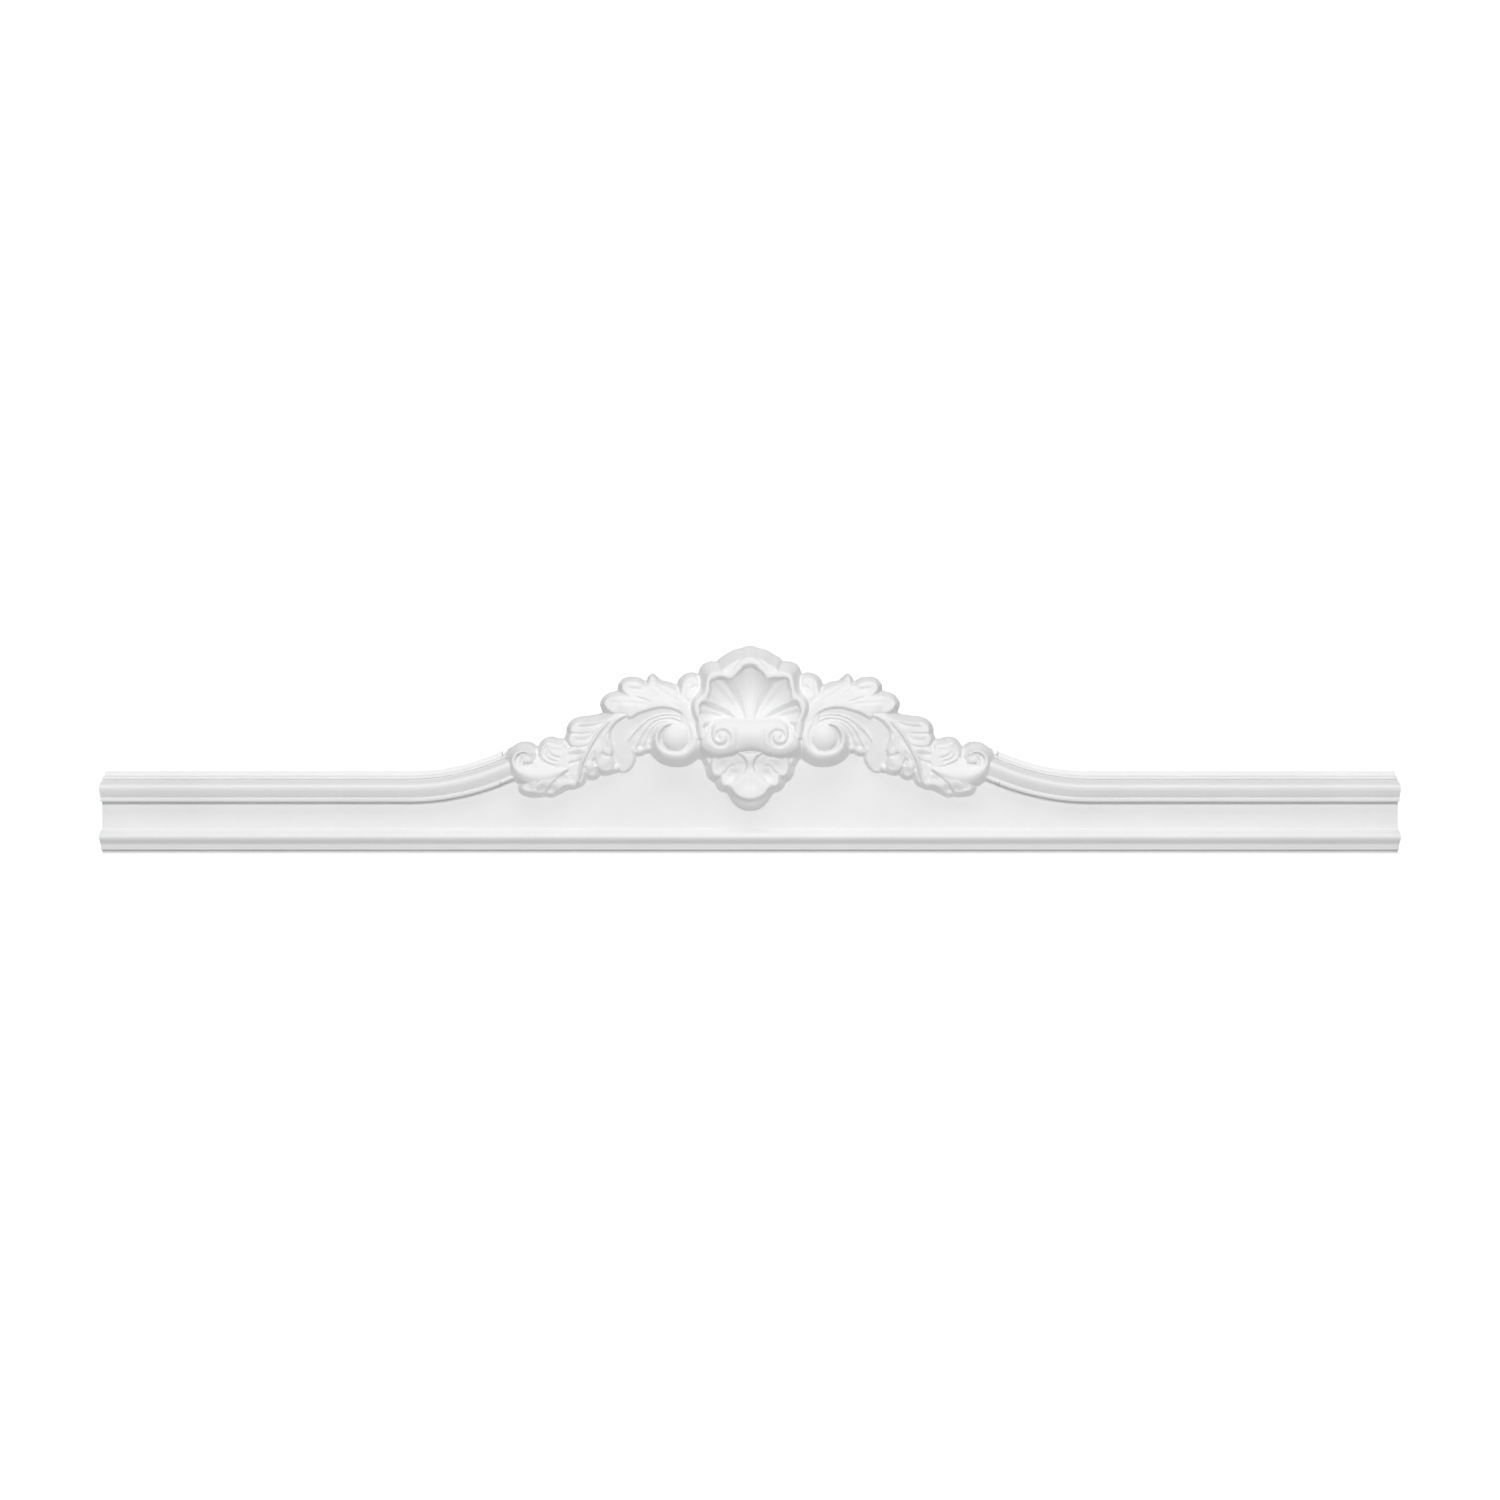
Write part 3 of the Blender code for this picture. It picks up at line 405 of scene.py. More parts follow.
# %% Lower leaf
def carve_lower_leaf(sheet, side):
    """The leaf that runs down from the scroll: its two halves, its midrib and its tip."""
    edges = [side((123, 139), (134, 138.5), (143, 135.5), (152, 133), (162, 132), (171, 132), (177.5, 129.5),
                  (180, 124.5), (179, 121)),
             side((176, 120.3), (180, 119), (182, 115), (180, 110), (178, 107.8)),
             side((176, 107), (181, 105.5), (185.5, 102), (187, 97), (185.5, 93), (181, 91)),
             side((176, 90), (182, 89), (184.5, 86), (184.5, 79), (183, 74), (186, 69), (176, 68), (172, 75),
                  (164, 89), (154, 109), (145, 122), (134, 132))]
    levels = side((140, 134, 37), (150, 125, 36), (158, 110, 35.5), (165, 104, 36), (178, 128, 30.5),
                  (181, 113, 30.5), (185, 97, 30.5), (172, 80, 31), (180, 71, 29), (176, 95, 32))
    form = sheet.face(edges, levels, roll=1.4, slope=2.3)
    notches = [side((180, 120.3), (168, 120), (156, 121)),
               side((180, 107.2), (168, 107), (158, 110)),
               side((184, 90.5), (172, 93), (162, 99))]
    veins = [side((142, 135), (155, 128.5), (174, 126.5)),
             side((152, 125), (162, 115), (176, 113.5)),
             side((164, 101), (174, 99.5), (182, 99))]
    swells = [side((146, 134), (158, 131), (172, 130)),
              side((156, 122), (166, 118), (177, 117.5)),
              side((166, 105), (176, 103.5), (183, 101))]
    form.lines(notches, 0.9, -1.9, 0.25)
    form.lines(veins, 1.3, -0.9)
    form.lines(swells, 1.3, 0.7)
    form.line(side((183.5, 88), (184, 80), (182.5, 75)), 0.9, -1.6)
    sheet.add(form)
    edges = [side((123, 139), (132, 138), (142, 129), (153, 112), (162, 94), (169, 78), (174, 70)),
             side((174, 70), (169, 71.5), (166.5, 77), (165.5, 83)),
             side((165, 83), (162, 78.5), (157, 77.5), (154, 80), (153.5, 85)),
             side((153.5, 88), (150, 84), (145, 82.5), (139, 84), (137, 89.5), (139, 95.5)),
             side((140, 97.5), (138, 104), (139, 110), (141, 116), (140, 124), (134, 132))]
    levels = side((134, 134, 37), (143, 119, 36.5), (152, 106, 36), (162, 88, 34), (139, 86, 29),
                  (156, 79.5, 28.5), (167, 74, 28), (140, 100, 33.5), (146, 92, 33))
    form = sheet.face(edges, levels, roll=1.4)
    form.line(side((143, 130), (149, 118), (150, 106), (147, 100)), 1.2, -1.2, 0.15)
    form.line(side((141, 124), (144.5, 114), (143, 104)), 1.2, -1.2, 0.15)
    form.line(side((156, 104), (156, 94), (153, 90)), 1.2, -1.0)
    form.line(side((164, 92), (165, 86), (165.5, 82)), 1.1, -1.2)
    sheet.add(form)
    sheet.rib(side((141, 133), (150, 123), (157, 112), (163, 101), (168, 91), (171, 80), (173, 72)),
              (1.2, 1.3, 1.3, 1.2, 1.1, 1.0, 0.8), (37.2, 37.6, 37.4, 36.6, 35.4, 33.4, 30.5), 1.0)
    drilled = ((((149, 101.5), (145, 98.5), (140, 98)), 1.2, -3.4),
               (((139.5, 112), (136.5, 113), (133.5, 111)), 1.4, -3.6),
               (((156, 96), (155.7, 92.5), (153.5, 88)), 1.3, -3.2),
               (((165.5, 88), (165, 85), (163.5, 82)), 1.2, -2.6),
               (((184, 79), (183, 75.5), (181, 74)), 1.3, -2.6),
               (((148, 125), (154, 114), (160, 102.5), (165, 92), (168.5, 81)), 0.8, -1.5))
    for points, width, depth in drilled:
        sheet.cut(side(*points), width, depth)
    sheet.ball(side((134.5, 86.5))[0], 3.8, 24.0, 3.4)
    short_lobe = side((178, 82), (190, 79), (198, 74), (201, 67), (202.5, 60.7), (198, 60), (193, 63.5),
                      (186, 68), (176, 70))
    sheet.add(sheet.face([short_lobe], side((179, 76, 29.5), (186, 77, 33), (193, 72, 34), (200, 62, 27.5))))
    on_the_left = side((1, 0))[0][0] < 0
    longer = 6.0 if on_the_left else 0.0
    long_lobe = side((190, 80), (202, 77.5), (211, 75.5), (217 + longer / 2, 72), (221.5 + longer, 67.5),
                     (221 + longer, 63.8), (214 + longer, 61.6), (207, 61), (203, 64), (199, 68), (195, 73))
    levels = side((196, 77, 35.5), (206, 73, 36), (213, 70, 35.5), (217 + longer, 66, 31), (208, 63, 28.5))
    form = sheet.face([long_lobe], levels, roll=1.2)
    form.line(side((210, 73.5), (213.5, 70), (214.5, 64)), 1.1, -1.4)
    sheet.add(form.line(side((208, 73), (210.5, 69), (211, 64)), 1.2, 0.7))
    sheet.cut(side((194, 74), (198, 70), (202.5, 62.5)), 0.9, -2.2)
    sheet.cut(side((186, 80), (185.5, 77), (184, 73.5)), 0.9, -2.0)


# %% Volutes at the end
def carve_volutes(sheet, side):
    """The small curl, and the end volute: a stem that tapers as it curls in. The crown dies away under it."""
    curl = side((180, 84), (183, 100), (186, 108.5), (190, 109.5), (195, 110), (200, 111.5),
                (205, 110.5), (208.5, 106), (210, 101), (209, 96), (205, 92), (199, 89), (193, 87))
    levels = side((194, 107, 31), (206, 106, 31), (196, 99, 32.5), (190, 92, 32))
    form = sheet.face([curl], levels, roll=1.4, slope=2.2)
    form.line(side((201, 109), (204.5, 106), (205.8, 101), (204, 97), (199, 93.8), (192, 92)), 1.1, -1.9, 0.1)
    form.line(side((202, 104), (200.5, 100), (196, 97.2), (189, 95.5)), 1.1, -1.8, 0.2)
    form.line(side((188, 107), (194, 106.5), (200, 108)), 1.2, 0.7)
    sheet.add(form)
    end_volute = side((178, 90), (188, 86), (196, 88), (204, 91), (209, 95.5), (215, 94), (216, 99),
                      (219, 102.5), (223, 104.5), (228, 105), (233, 103.5), (237, 100), (240, 95),
                      (241, 89), (238, 80), (231, 73.5), (222, 70), (212, 70), (200, 73), (186, 77))
    levels = side((225, 92, 31.5), (236, 92, 31.5), (228, 76, 29), (212, 93.5, 30),
                  (204, 90.5, 30.5), (212, 87, 33.4), (203, 86, 33.4), (220, 87.5, 33.2),
                  (193, 85, 33), (212, 75, 30), (195, 80, 33), (182, 86, 31.5))
    sheet.add(sheet.face([end_volute], levels, roll=1.4, slope=2.2))
    stem = side((184, 84), (192, 81), (201, 78.8), (211, 78), (221, 79), (230, 82.6), (235.7, 89),
                (236, 96.5), (231.5, 101.5), (225, 102.8), (219.5, 99.5))
    sheet.rib(stem, (2.0, 6.4, 9.6, 10.6, 9.6, 7.6, 5.6, 4.0, 3.0, 2.5, 2.0),
              (30.5, 30.5, 30.5, 30.5, 30.5, 31, 31, 31, 31, 31, 30.5), 5.8)
    sheet.rib(side((228, 98), (231, 93), (230, 87.5), (225.5, 85.5)), (1.6, 2.2, 2.4, 1.2),
              (32, 32.5, 32.5, 32), 1.8)
    sheet.ball(side((222.5, 95))[0], 5.5, 31.5, 3.0)
    sheet.cut(side((216.5, 91.5), (219.5, 89.5), (224.5, 90), (227, 88)), 1.1, -2.4)
    sheet.cut(side((224, 98.5), (228.5, 95.5), (228.8, 91)), 0.9, -1.5)
    sheet.cut(side((209.5, 95), (204.5, 91.5), (198, 88.8), (192, 86)), 1.0, -2.0)


# %% Scroll
def carve_scroll(sheet, side):
    """The C scroll: a cove that steps down from the leaf, a fan of flutes, the ring round the ball."""
    cove = side((59, 127), (65, 137), (75, 143.5), (86, 146), (97, 145), (108, 142), (120, 139.5),
                (131, 135), (138, 127), (141, 118), (141.5, 110), (139, 101), (136.5, 93), (133, 85.5),
                (127.5, 82), (121.5, 85), (117, 93), (117, 104), (116, 116), (106, 128), (90, 135),
                (72, 131))
    levels = side((64, 134, 34.5), (85, 144.5, 35), (106, 141, 35), (85, 140, 29.8), (103, 134.5, 29.5),
                  (115, 126, 29.5), (122, 116, 29.5), (129, 132, 34), (136, 122, 33), (137, 110, 30.5),
                  (130, 104, 28.5), (133, 92, 24.5), (126, 84, 21.5), (122, 98, 26))
    sheet.add(sheet.face([cove], levels, roll=1.0, blend=100))
    fan = side((62, 126), (67, 135.5), (75, 140), (85, 141), (95, 139), (103, 135), (110, 129.5),
               (117, 122.5), (122, 115), (123.5, 109), (121, 104.5), (117.5, 101.8), (111.5, 100.5),
               (107, 102.5), (103, 105.3), (98, 105.8), (93, 109.5), (91, 117), (82, 127))
    levels = side((66, 132, 32.5), (85, 137, 31.5), (105, 129, 31), (118, 117, 29.5), (95, 128, 31.5),
                  (88, 127, 32.5), (118, 104, 26.5), (110, 103, 26.5), (96, 109, 27), (103, 113, 29))
    form = sheet.face([fan], levels, roll=0.8, wide=1.5)
    flutes = (
        (2.6, (64, 132.5), (70, 138), (78, 139.7), (88, 139.6), (97, 137), (105, 132.4), (113, 125),
         (120, 117), (122.5, 109)),
        (2.4, (66, 130.5), (74, 136), (84, 136.6), (94, 134.4), (101, 129.5), (107, 122), (111.5, 113),
         (115.5, 104.5)),
        (2.3, (72, 131), (82, 133.3), (91, 131.8), (98, 126.5), (103, 118), (106.5, 108.5)),
        (2.0, (84, 130.5), (91, 128.5), (96, 121), (99.5, 109)))
    for rise, *points in flutes:
        form.line(side(*points), 1.15, rise, fade=0.08)
    sheet.add(form)
    flute_ends = ((96, 110, 3.4), (102.5, 107, 3.8), (110.5, 104.6, 4.2), (118.5, 105.4, 4.0))
    for x, z, r in flute_ends:
        sheet.ball(side((x, z))[0], r, 25.6, 2.6)
    ring = side((79, 130), (86, 128), (91.5, 122), (93.3, 114), (90.5, 106), (83.5, 100.8), (73, 99.3),
                (64, 101.5), (57.5, 108.5), (56.2, 118), (58.5, 127), (63, 134))
    sheet.rib(ring, (0.8, 2.2, 2.8, 3.2, 4.4, 5.2, 5.6, 5.6, 5.4, 5.0, 3.8, 1.6),
              (36.0, 35.8, 35.2, 34.6, 34.2, 34.0, 34.0, 34.0, 34.2, 34.2, 33.0, 31.0), 4.2)
    sheet.ball(side((74.5, 116))[0], 18, 31.2, 0.4)
    sheet.ball(side((73.7, 117))[0], 14.2, 32.6, 8.2)
    sheet.cut(side((66, 104.2), (70, 102.6), (75, 102.4), (80, 104), (84, 107.5), (86.5, 112)), 1.0, -2.8)


# %% [markdown]
# ## All the carving together
#
# Below the panel's level the sides fall more steeply, as the outline of a casting does down to the wall.
# The knife never leaves a perfect edge, and paint fills the corners, so the heights are softened a little.

# %% Carve
DRAFT_SLOPE = 7.0


def softened(height, passes):
    """Repeats a quarter, a half, a quarter of neighbouring heights, along and across."""
    for _ in range(passes):
        padded = np.pad(height, 1, mode="edge")
        height = (padded[:-2, 1:-1] + padded[2:, 1:-1] + 2 * padded[1:-1, 1:-1]) / 4
        padded = np.pad(height, 1, mode="edge")
        height = (padded[1:-1, :-2] + padded[1:-1, 2:] + 2 * padded[1:-1, 1:-1]) / 4
    return height


def carved_heights(x, z):
    """The highest form at each place; what lies below the panel's level falls by the draft slope."""
    sheet = Carving(x.ravel(), z.ravel())
    carve_shell(sheet)
    carve_console(sheet)
    carve_drop(sheet)
    for s in (-1, 1):
        def side(*points):
            return [(s * p[0], *p[1:]) for p in points]
        carve_upper_leaf(sheet, side)
        carve_lower_leaf(sheet, side)
        carve_volutes(sheet, side)
        carve_scroll(sheet, side)
    height = softened(np.maximum(sheet.height.reshape(x.shape), 0), 1)
    edge = PANEL - 1
    return np.where(height < edge, edge - (edge - height) * DRAFT_SLOPE, height)


# %% [markdown]
# ## The run
#
# The two mouldings are sections carried along: the lower one straight, the crown along a line that rises as
# a parabola to the end volutes. A section is a short table of shares of the moulding's own height and depth.
# The flat panel fills the space between them.

# %% Mouldings
HALF_LENGTH = 651.0
BASE_HEIGHT = 25.2
CROWN_HEIGHT = 31.6
MOULDING_DEPTH = 32.0
CLIMB_START = 342.0
CLIMB_LENGTH = 114.0
CLIMB = 31.2
CROWN_STOP = 232.0
OFF_CROWN = -30.0
PANEL_TOP = np.array([(0, 150), (80, 130), (150, 113), (232, 90)])

# Shares of a moulding's height, from its top edge for the crown and from the bottom edge for the base,
# and shares of its depth off the wall
CROWN_SECTION = np.array([
    (0.000, 0.25), (0.139, 0.31), (0.152, 0.50), (0.165, 0.58), (0.234, 0.62), (0.259, 0.556), (0.285, 0.563),
    (0.310, 0.69), (0.364, 0.84), (0.423, 0.955), (0.500, 1.00), (0.585, 0.985), (0.649, 0.953),
    (0.712, 0.915), (0.775, 0.870), (0.823, 0.83), (0.842, 0.825), (0.854, 0.858), (0.902, 0.872),
    (0.950, 0.845), (0.975, 0.64), (1.000, 0.594)])
BASE_SECTION = np.array([
    (0.000, 0.45), (0.119, 0.52), (0.143, 0.63), (0.167, 0.765), (0.278, 0.785), (0.360, 0.802),
    (0.417, 0.833), (0.476, 0.886), (0.536, 0.941), (0.595, 0.98), (0.675, 1.00), (0.754, 0.978),
    (0.833, 0.90), (0.873, 0.828), (0.897, 0.781), (0.976, 0.662), (1.000, 0.640)])


def finer(section, steps=4):
    """The section with its round parts drawn through their points and its sharp corners kept.

    Where the line turns by less than 40 degrees it counts as round, and cubic pieces replace the chords.
    """
    p = section * (1, 1)
    turn = np.unwrap(np.arctan2(*np.diff(p, axis=0).T[::-1]))
    sharp = np.concatenate(([True], np.abs(np.diff(turn)) > math.radians(40), [True]))
    out = []
    first = 0
    for i in np.flatnonzero(sharp)[1:]:
        piece = p[first:i + 1]
        line = smooth_path(piece, steps) if len(piece) > 2 else piece
        out.append(line[:-1])
        first = i
    out.append(p[-1:])
    return np.vstack(out)


CROWN_LINE = finer(CROWN_SECTION)
BASE_LINE = finer(BASE_SECTION)


def sweep(x):
    """How far the crown has climbed at x, and how steeply: a parabola over the climbing stretch."""
    left = np.clip(CLIMB_START - np.abs(x), 0, CLIMB_LENGTH)
    return CLIMB * (left / CLIMB_LENGTH)**2, 2 * CLIMB * left / CLIMB_LENGTH**2


def run_heights(x, z):
    """The highest of the crown, the panel and the bottom moulding.

    The panel reaches up behind the carving, to a line that the carving hides, and else behind the crown.
    """
    rise, slope = sweep(x)
    down = (RUN_HEIGHT + rise - z) / np.sqrt(1 + slope**2)
    share, depth = CROWN_LINE.T
    crown = np.interp(down, share * CROWN_HEIGHT, depth * MOULDING_DEPTH, left=OFF_CROWN, right=OFF_CROWN)
    crown = np.where(np.abs(x) < CROWN_STOP, FAR_BELOW, crown)
    behind_carving = np.interp(np.abs(x), *PANEL_TOP.T)
    behind_crown = RUN_HEIGHT + rise - CROWN_HEIGHT * 0.9
    panel = np.where(z < np.where(np.abs(x) < CROWN_STOP, behind_carving, behind_crown), PANEL, FAR_BELOW)
    share, depth = BASE_LINE.T
    base = np.interp(z, share * BASE_HEIGHT, depth * MOULDING_DEPTH, right=FAR_BELOW)
    return np.maximum(np.maximum(crown, panel), base)


print("crown section", len(CROWN_LINE), "points, base section", len(BASE_LINE), "points")

# %% [markdown]
# ## From heights to a casting
#
# The columns of the sheet lie close together where there is carving and far apart along the straight run.
# Its rows follow the mouldings, so their edges stay crisp, and spread out evenly under the carving. Round
# the edge a skirt goes straight down behind the wall. Cutting everything at the wall plane then gives the
# true outline, and one flat face closes the back.

# %% Sheet
FINE = 0.75
COARSE = 3.0
CARVED_HALF = 255.0
ROWS_BETWEEN = 220
REACH = np.array([(0, 217), (48, 207), (62, 192), (112, 188), (150, 173), (186, 150), (222, 124), (238, 118),
                  (250, 103)])


def front_sheet(rows_between):
    """Places and heights of the whole front, as arrays with a row for each line along the pediment.

    The top edge is the run's own line outside the carving, and over the carving the line in REACH.
    """
    half = np.concatenate((np.arange(0, CARVED_HALF, FINE), np.arange(CARVED_HALF, CLIMB_START, COARSE),
                           np.linspace(CLIMB_START, HALF_LENGTH, 12)))
    columns = np.concatenate((-half[:0:-1], half))
    rise, slope = sweep(columns)
    carved = np.abs(columns) < REACH[-1, 0]
    top = np.where(carved, np.interp(np.abs(columns), *REACH.T), RUN_HEIGHT + rise)
    stretch = np.where(carved, 1.0, np.sqrt(1 + slope**2))
    low = BASE_LINE[:, 0] * BASE_HEIGHT
    foot = top - CROWN_HEIGHT * stretch
    rows = [np.full(columns.shape, z) for z in low]
    rows += [low[-1] + (foot - low[-1]) * k for k in np.linspace(0, 1, rows_between + 1)[1:]]
    rows += [top - CROWN_HEIGHT * stretch * k for k in CROWN_LINE[-2::-1, 0]]
    z = np.array(rows)
    x = np.broadcast_to(columns, z.shape)
    height = np.maximum(carved_heights(x, z), run_heights(x, z))
    x, z = np.pad(x, 1, mode="edge"), np.pad(z, 1, mode="edge")
    return x, z, np.pad(height, 1, constant_values=-4.0)


def grid_mesh(name, x, y, z):
    """A mesh with a four-sided face between every four neighbouring places of the arrays."""
    rows, columns = x.shape
    index = np.arange(rows * columns).reshape(rows, columns)
    quads = np.stack((index[:-1, :-1], index[:-1, 1:], index[1:, 1:], index[1:, :-1]), -1).reshape(-1, 4)
    mesh = bpy.data.meshes.new(name)
    mesh.from_pydata(np.stack((x, y, z), -1).reshape(-1, 3), [], quads)
    mesh.update()
    return mesh


x, z, height = front_sheet(ROWS_BETWEEN)
print("sheet", x.shape, "highest", round(float(height.max()), 2), "mm off the wall")

# %% Casting
def closed_casting(mesh):
    """Cuts the sheet at the wall plane and closes the back with one flat face."""
    bm = bmesh.new()
    bm.from_mesh(mesh)
    bmesh.ops.bisect_plane(bm, geom=bm.verts[:] + bm.edges[:] + bm.faces[:], dist=1e-7,
                           plane_co=(0, 0, 0), plane_no=(0, 1, 0), clear_outer=True)
    rim = [e for e in bm.edges if e.is_boundary]
    for v in {v for e in rim for v in e.verts}:
        v.co.y = 0
    back = bmesh.ops.holes_fill(bm, edges=rim, sides=0)["faces"]
    bmesh.ops.triangulate(bm, faces=back)
    bmesh.ops.recalc_face_normals(bm, faces=bm.faces[:])
    bm.to_mesh(mesh)
    bm.free()


mesh = grid_mesh("casting", x * MM, -height * MM, (z - RUN_HEIGHT / 2) * MM)
closed_casting(mesh)
casting = bpy.data.objects.new("casting", mesh)
bpy.context.collection.objects.link(casting)
triangles = sum(len(p.vertices) - 2 for p in mesh.polygons)
print("casting:", triangles, "triangles before thinning")

# %% [markdown]
# ## Thinning and smoothing
#
# Flat stretches need no small faces. The Decimate modifier joins them where that moves the surface least,
# so the carving keeps its grid. Shading is smooth except where two faces meet at a real edge. The joined
# faces are long and thin, so each corner takes its normal mostly from the largest face around it; without
# that, the flat panel would show faint rays.

# %% Thin and smooth
MOST_TRIANGLES = 190000


def apply_modifiers(obj):
    """Gives the object the mesh that its modifiers make of it."""
    obj.data = bpy.data.meshes.new_from_object(obj.evaluated_get(bpy.context.evaluated_depsgraph_get()))
    obj.modifiers.clear()


thin = casting.modifiers.new("thin", "DECIMATE")
thin.ratio = min(1.0, MOST_TRIANGLES / triangles)
apply_modifiers(casting)
casting.data.shade_smooth()
casting.data.set_sharp_from_angle(angle=math.radians(50))
normals = casting.modifiers.new("normals", "WEIGHTED_NORMAL")
normals.keep_sharp = True
apply_modifiers(casting)
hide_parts("pediment")
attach(casting, "root")
print("casting:", len(casting.data.polygons), "faces after thinning")

# %% [markdown]
# ## Shader maths as Python
#
# A node tree is easier to read as a formula. This small class wraps a socket, so that plus, minus and times
# add Math nodes, and one method adds any other node: its settings first, then its sockets.

# %% Shader helper
class Socket:
    """A node's output that can be added to, multiplied and so on."""

    def __init__(self, paint, out):
        self.paint, self.out = paint, out

    def math(self, operation, a, b):
        return self.paint.node("ShaderNodeMath", {"operation": operation}, {0: a, 1: b})

    def __add__(self, other):
        return self.math("ADD", self, other)

    def __radd__(self, other):
        return self.math("ADD", other, self)

    def __sub__(self, other):
        return self.math("SUBTRACT", self, other)

    def __rsub__(self, other):
        return self.math("SUBTRACT", other, self)

    def __mul__(self, other):
        return self.math("MULTIPLY", self, other)

    def __rmul__(self, other):
        return self.math("MULTIPLY", other, self)


class Paint:
    """A material under construction."""

    def __init__(self, name):
        self.material = bpy.data.materials.new(name)
        self.material.use_nodes = True
        self.tree = self.material.node_tree
        self.shader = self.tree.nodes["Principled BSDF"]

    def node(self, kind, settings=None, values=None, out=0):
        """A node of a kind, with its settings made first and its sockets then given values or links."""
        made = self.tree.nodes.new(kind)
        for key, value in (settings or {}).items():
            setattr(made, key, value)
        for key, value in (values or {}).items():
            self.put(made.inputs[key], value)
        return Socket(self, made.outputs[out])

    def put(self, socket, value):
        if isinstance(value, Socket):
            self.tree.links.new(value.out, socket)
        else:
            socket.default_value = value

    def noise(self, where, scale, detail=2.0, rough=0.5):
        """Blender's noise, between 0 and 1, at so many waves to the metre."""
        values = {"Vector": where, "Scale": scale, "Detail": detail, "Roughness": rough}
        return self.node("ShaderNodeTexNoise", {}, values, "Fac")

    def between(self, value, low, high):
        """0 below low, 1 above high, straight between."""
        values = {"Value": value, "From Min": low, "From Max": high}
        return self.node("ShaderNodeMapRange", {"clamp": True}, values)

    def blend(self, share, one, other):
        """A colour that goes from one to the other."""
        made = self.tree.nodes.new("ShaderNodeMix")
        made.data_type = "RGBA"
        self.put(made.inputs["Factor"], share)
        self.put(made.inputs[6], one)
        self.put(made.inputs[7], other)
        return Socket(self, made.outputs[2])


print("shader helper ready")

# %% [markdown]
# ## The primer
#
# The casting comes primed: a neutral, faintly uneven white with a satin to matt skin. The spray leaves a fine
# texture of about a millimetre, a few broad clouds that are hardly seen, and a little less gloss in some
# places than in others. The same material covers the back, where the mould's lid left it plain.

# %% Primer
primer = Paint("white primer")
where = primer.node("ShaderNodeTexCoord", out="Object")
clouds = primer.noise(where, 14, 3.0)
specks = primer.noise(where, 420, 2.0)
grain = primer.noise(where, 900, 3.0, 0.6)
mottle = clouds * 0.75 + specks * 0.25
primer.put(primer.shader.inputs["Base Color"],
           primer.blend(primer.between(mottle, 0.3, 0.7), (0.82, 0.82, 0.82, 1), (0.86, 0.86, 0.86, 1)))
primer.put(primer.shader.inputs["Roughness"], 0.5 + clouds * 0.16 - specks * 0.06)
relief = {"Strength": 0.25, "Distance": 0.0002, "Height": grain + specks * 0.6}
primer.put(primer.shader.inputs["Normal"], primer.node("ShaderNodeBump", {}, relief))
primer.shader.inputs["Specular IOR Level"].default_value = 0.4
casting.data.materials.clear()
casting.data.materials.append(primer.material)
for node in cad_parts.values():
    for slot in node.material_slots:
        slot.material = primer.material
print("primer on", casting.name)

# %% [markdown]
# ## Floor and light
#
# The photograph has a white ground and light that comes mostly from the front, a little from above. A broad
# soft lamp in front makes the faces bright and leaves the sides of the carving darker, and a weaker one high
# up whitens whatever faces upwards. The pediment hangs over a door, so the floor is two metres below it, and
# a third lamp brightens the floor behind it. The world is pale, and white only behind the pediment, where
# its light can't reach the front.

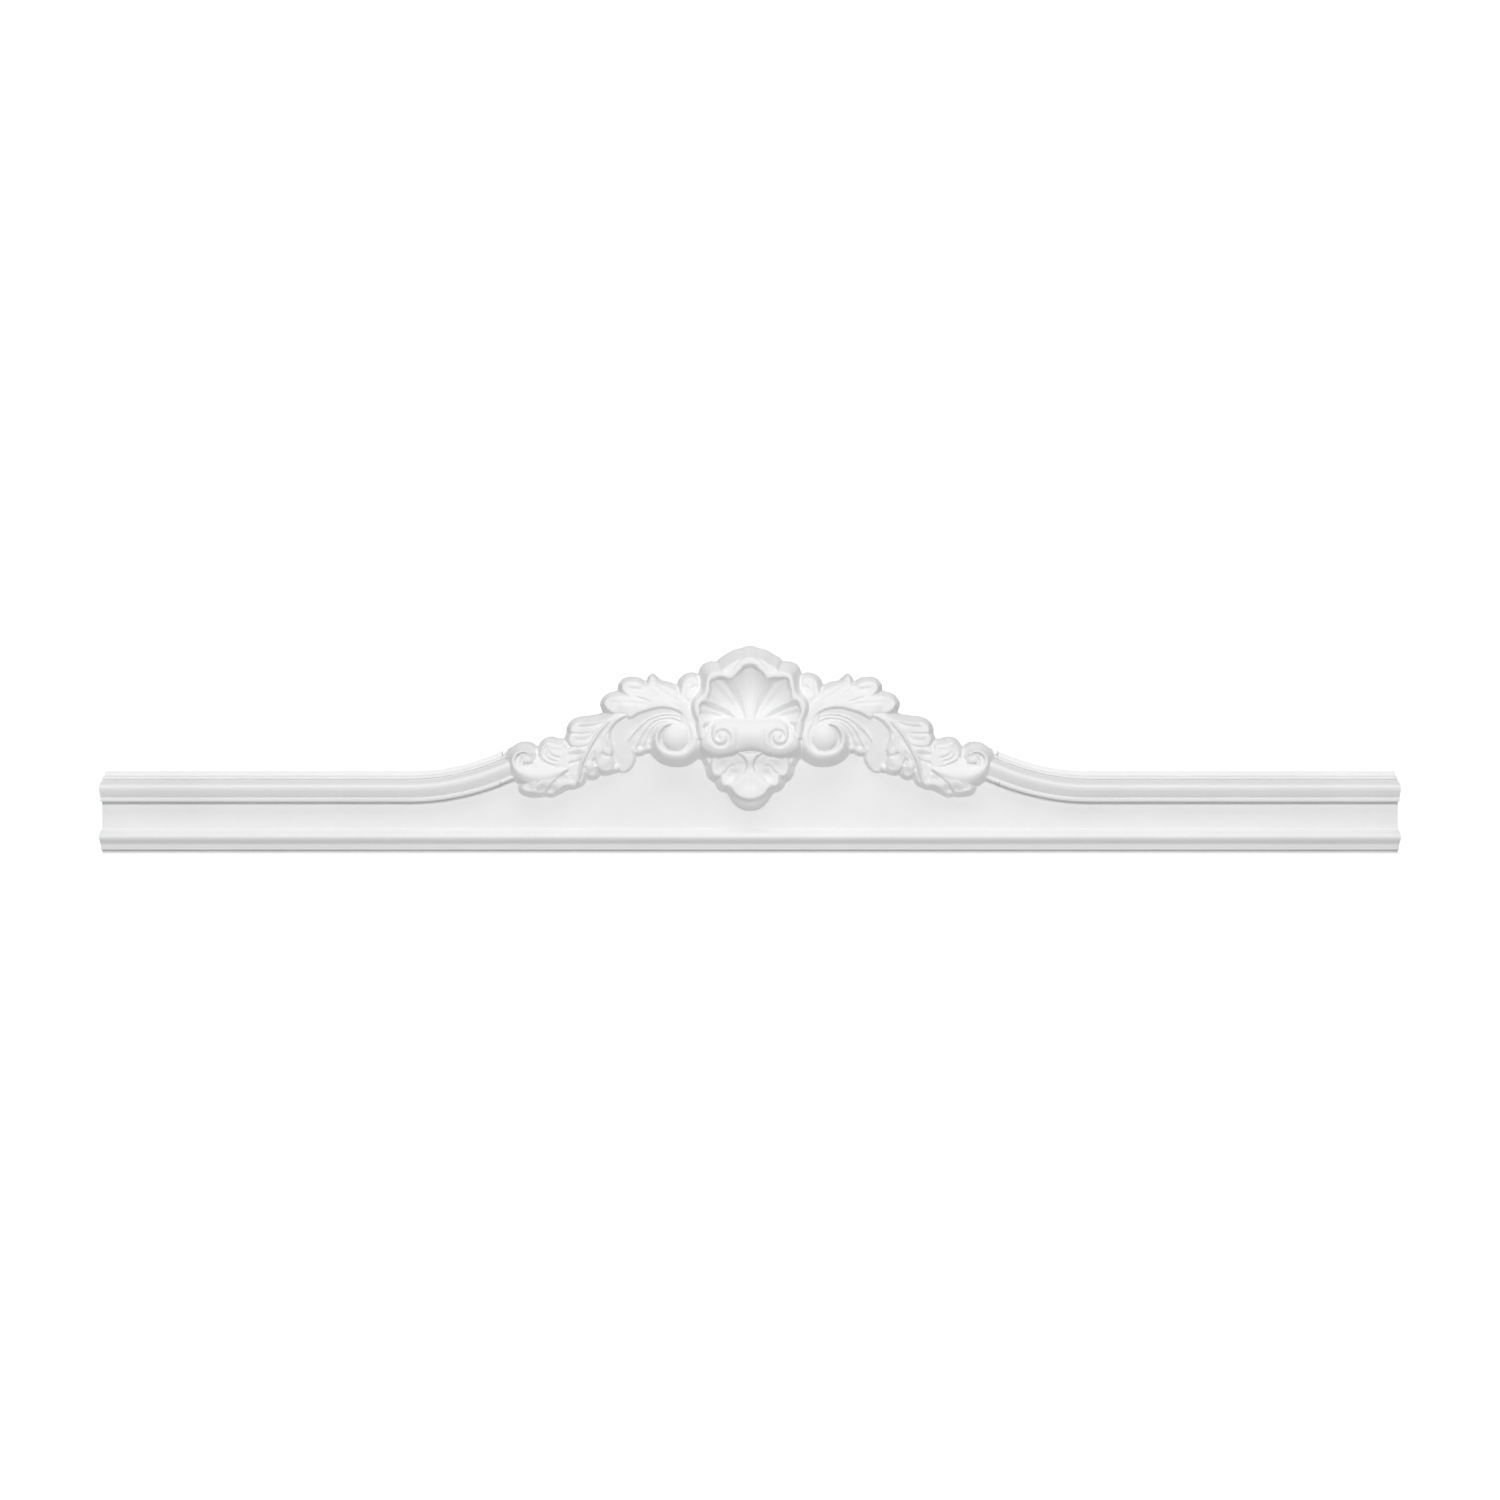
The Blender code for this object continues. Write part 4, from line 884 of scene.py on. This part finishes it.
# %% Floor
FLOOR_DROP = 2.05
FLOOR_HALF = 14.0
across, along = np.meshgrid(np.linspace(-FLOOR_HALF, FLOOR_HALF, 3), np.linspace(-FLOOR_HALF, FLOOR_HALF, 3))
floor_mesh = grid_mesh("floor", across, along, np.full((3, 3), -FLOOR_DROP))
floor = bpy.data.objects.new("floor", floor_mesh)
bpy.context.collection.objects.link(floor)
ground = Paint("pale floor")
ground.shader.inputs["Base Color"].default_value = (0.8, 0.8, 0.8, 1)
ground.shader.inputs["Roughness"].default_value = 0.9
floor.data.materials.append(ground.material)
floor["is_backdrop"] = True
print("floor", FLOOR_DROP, "m under the middle of the run")


# %% Light
def soft_lamp(name, place, target, size, power, spread=180):
    """An oblong area lamp turned towards a target, whose light keeps within a spread of so many degrees."""
    data = bpy.data.lights.new(name, "AREA")
    data.shape = "RECTANGLE"
    data.size, data.size_y = size
    data.energy = power
    data.spread = math.radians(spread)
    lamp = bpy.data.objects.new(name, data)
    lamp.location = place
    lamp.rotation_euler = (Vector(target) - Vector(place)).to_track_quat("-Z", "Y").to_euler()
    bpy.context.collection.objects.link(lamp)


soft_lamp("front lamp", (0, -3.4, 1.5), (0, 0, 0.05), (2.0, 1.0), 82)
soft_lamp("high lamp", (0, -1.3, 2.7), (0, 0, 0.05), (2.6, 0.8), 18)
soft_lamp("ground lamp", (0, 9, 4.5), (0, 9.01, 0), (16, 8), 1500, spread=110)

world = bpy.data.worlds.new("pale world")
bpy.context.scene.world = world
world.use_nodes = True
sky = world.node_tree
glow = sky.nodes["Background"]
way = sky.nodes.new("ShaderNodeTexCoord")
axes = sky.nodes.new("ShaderNodeSeparateXYZ")
sky.links.new(way.outputs["Generated"], axes.inputs[0])
behind = sky.nodes.new("ShaderNodeMapRange")
behind.interpolation_type = "SMOOTHSTEP"
for key, value in (("From Min", 0.75), ("From Max", 0.9), ("To Min", 0.30), ("To Max", 1.1)):
    behind.inputs[key].default_value = value
sky.links.new(axes.outputs["Y"], behind.inputs["Value"])
sky.links.new(behind.outputs[0], glow.inputs["Strength"])
glow.inputs["Color"].default_value = (1, 1, 1, 1)
bpy.context.scene.view_settings.view_transform = "Standard"
print("three lamps and a pale world")

# %% [markdown]
# ## Last look
#
# The boxes of the imported solid and of the new piece are printed one after the other. The new piece has
# to fill the same box as the imported solid.

# %% Size and finish
new_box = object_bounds()
for name, box in (("box was", cad_box), ("and is", new_box)):
    print(name, [[round(c, 4) for c in corner] for corner in box])
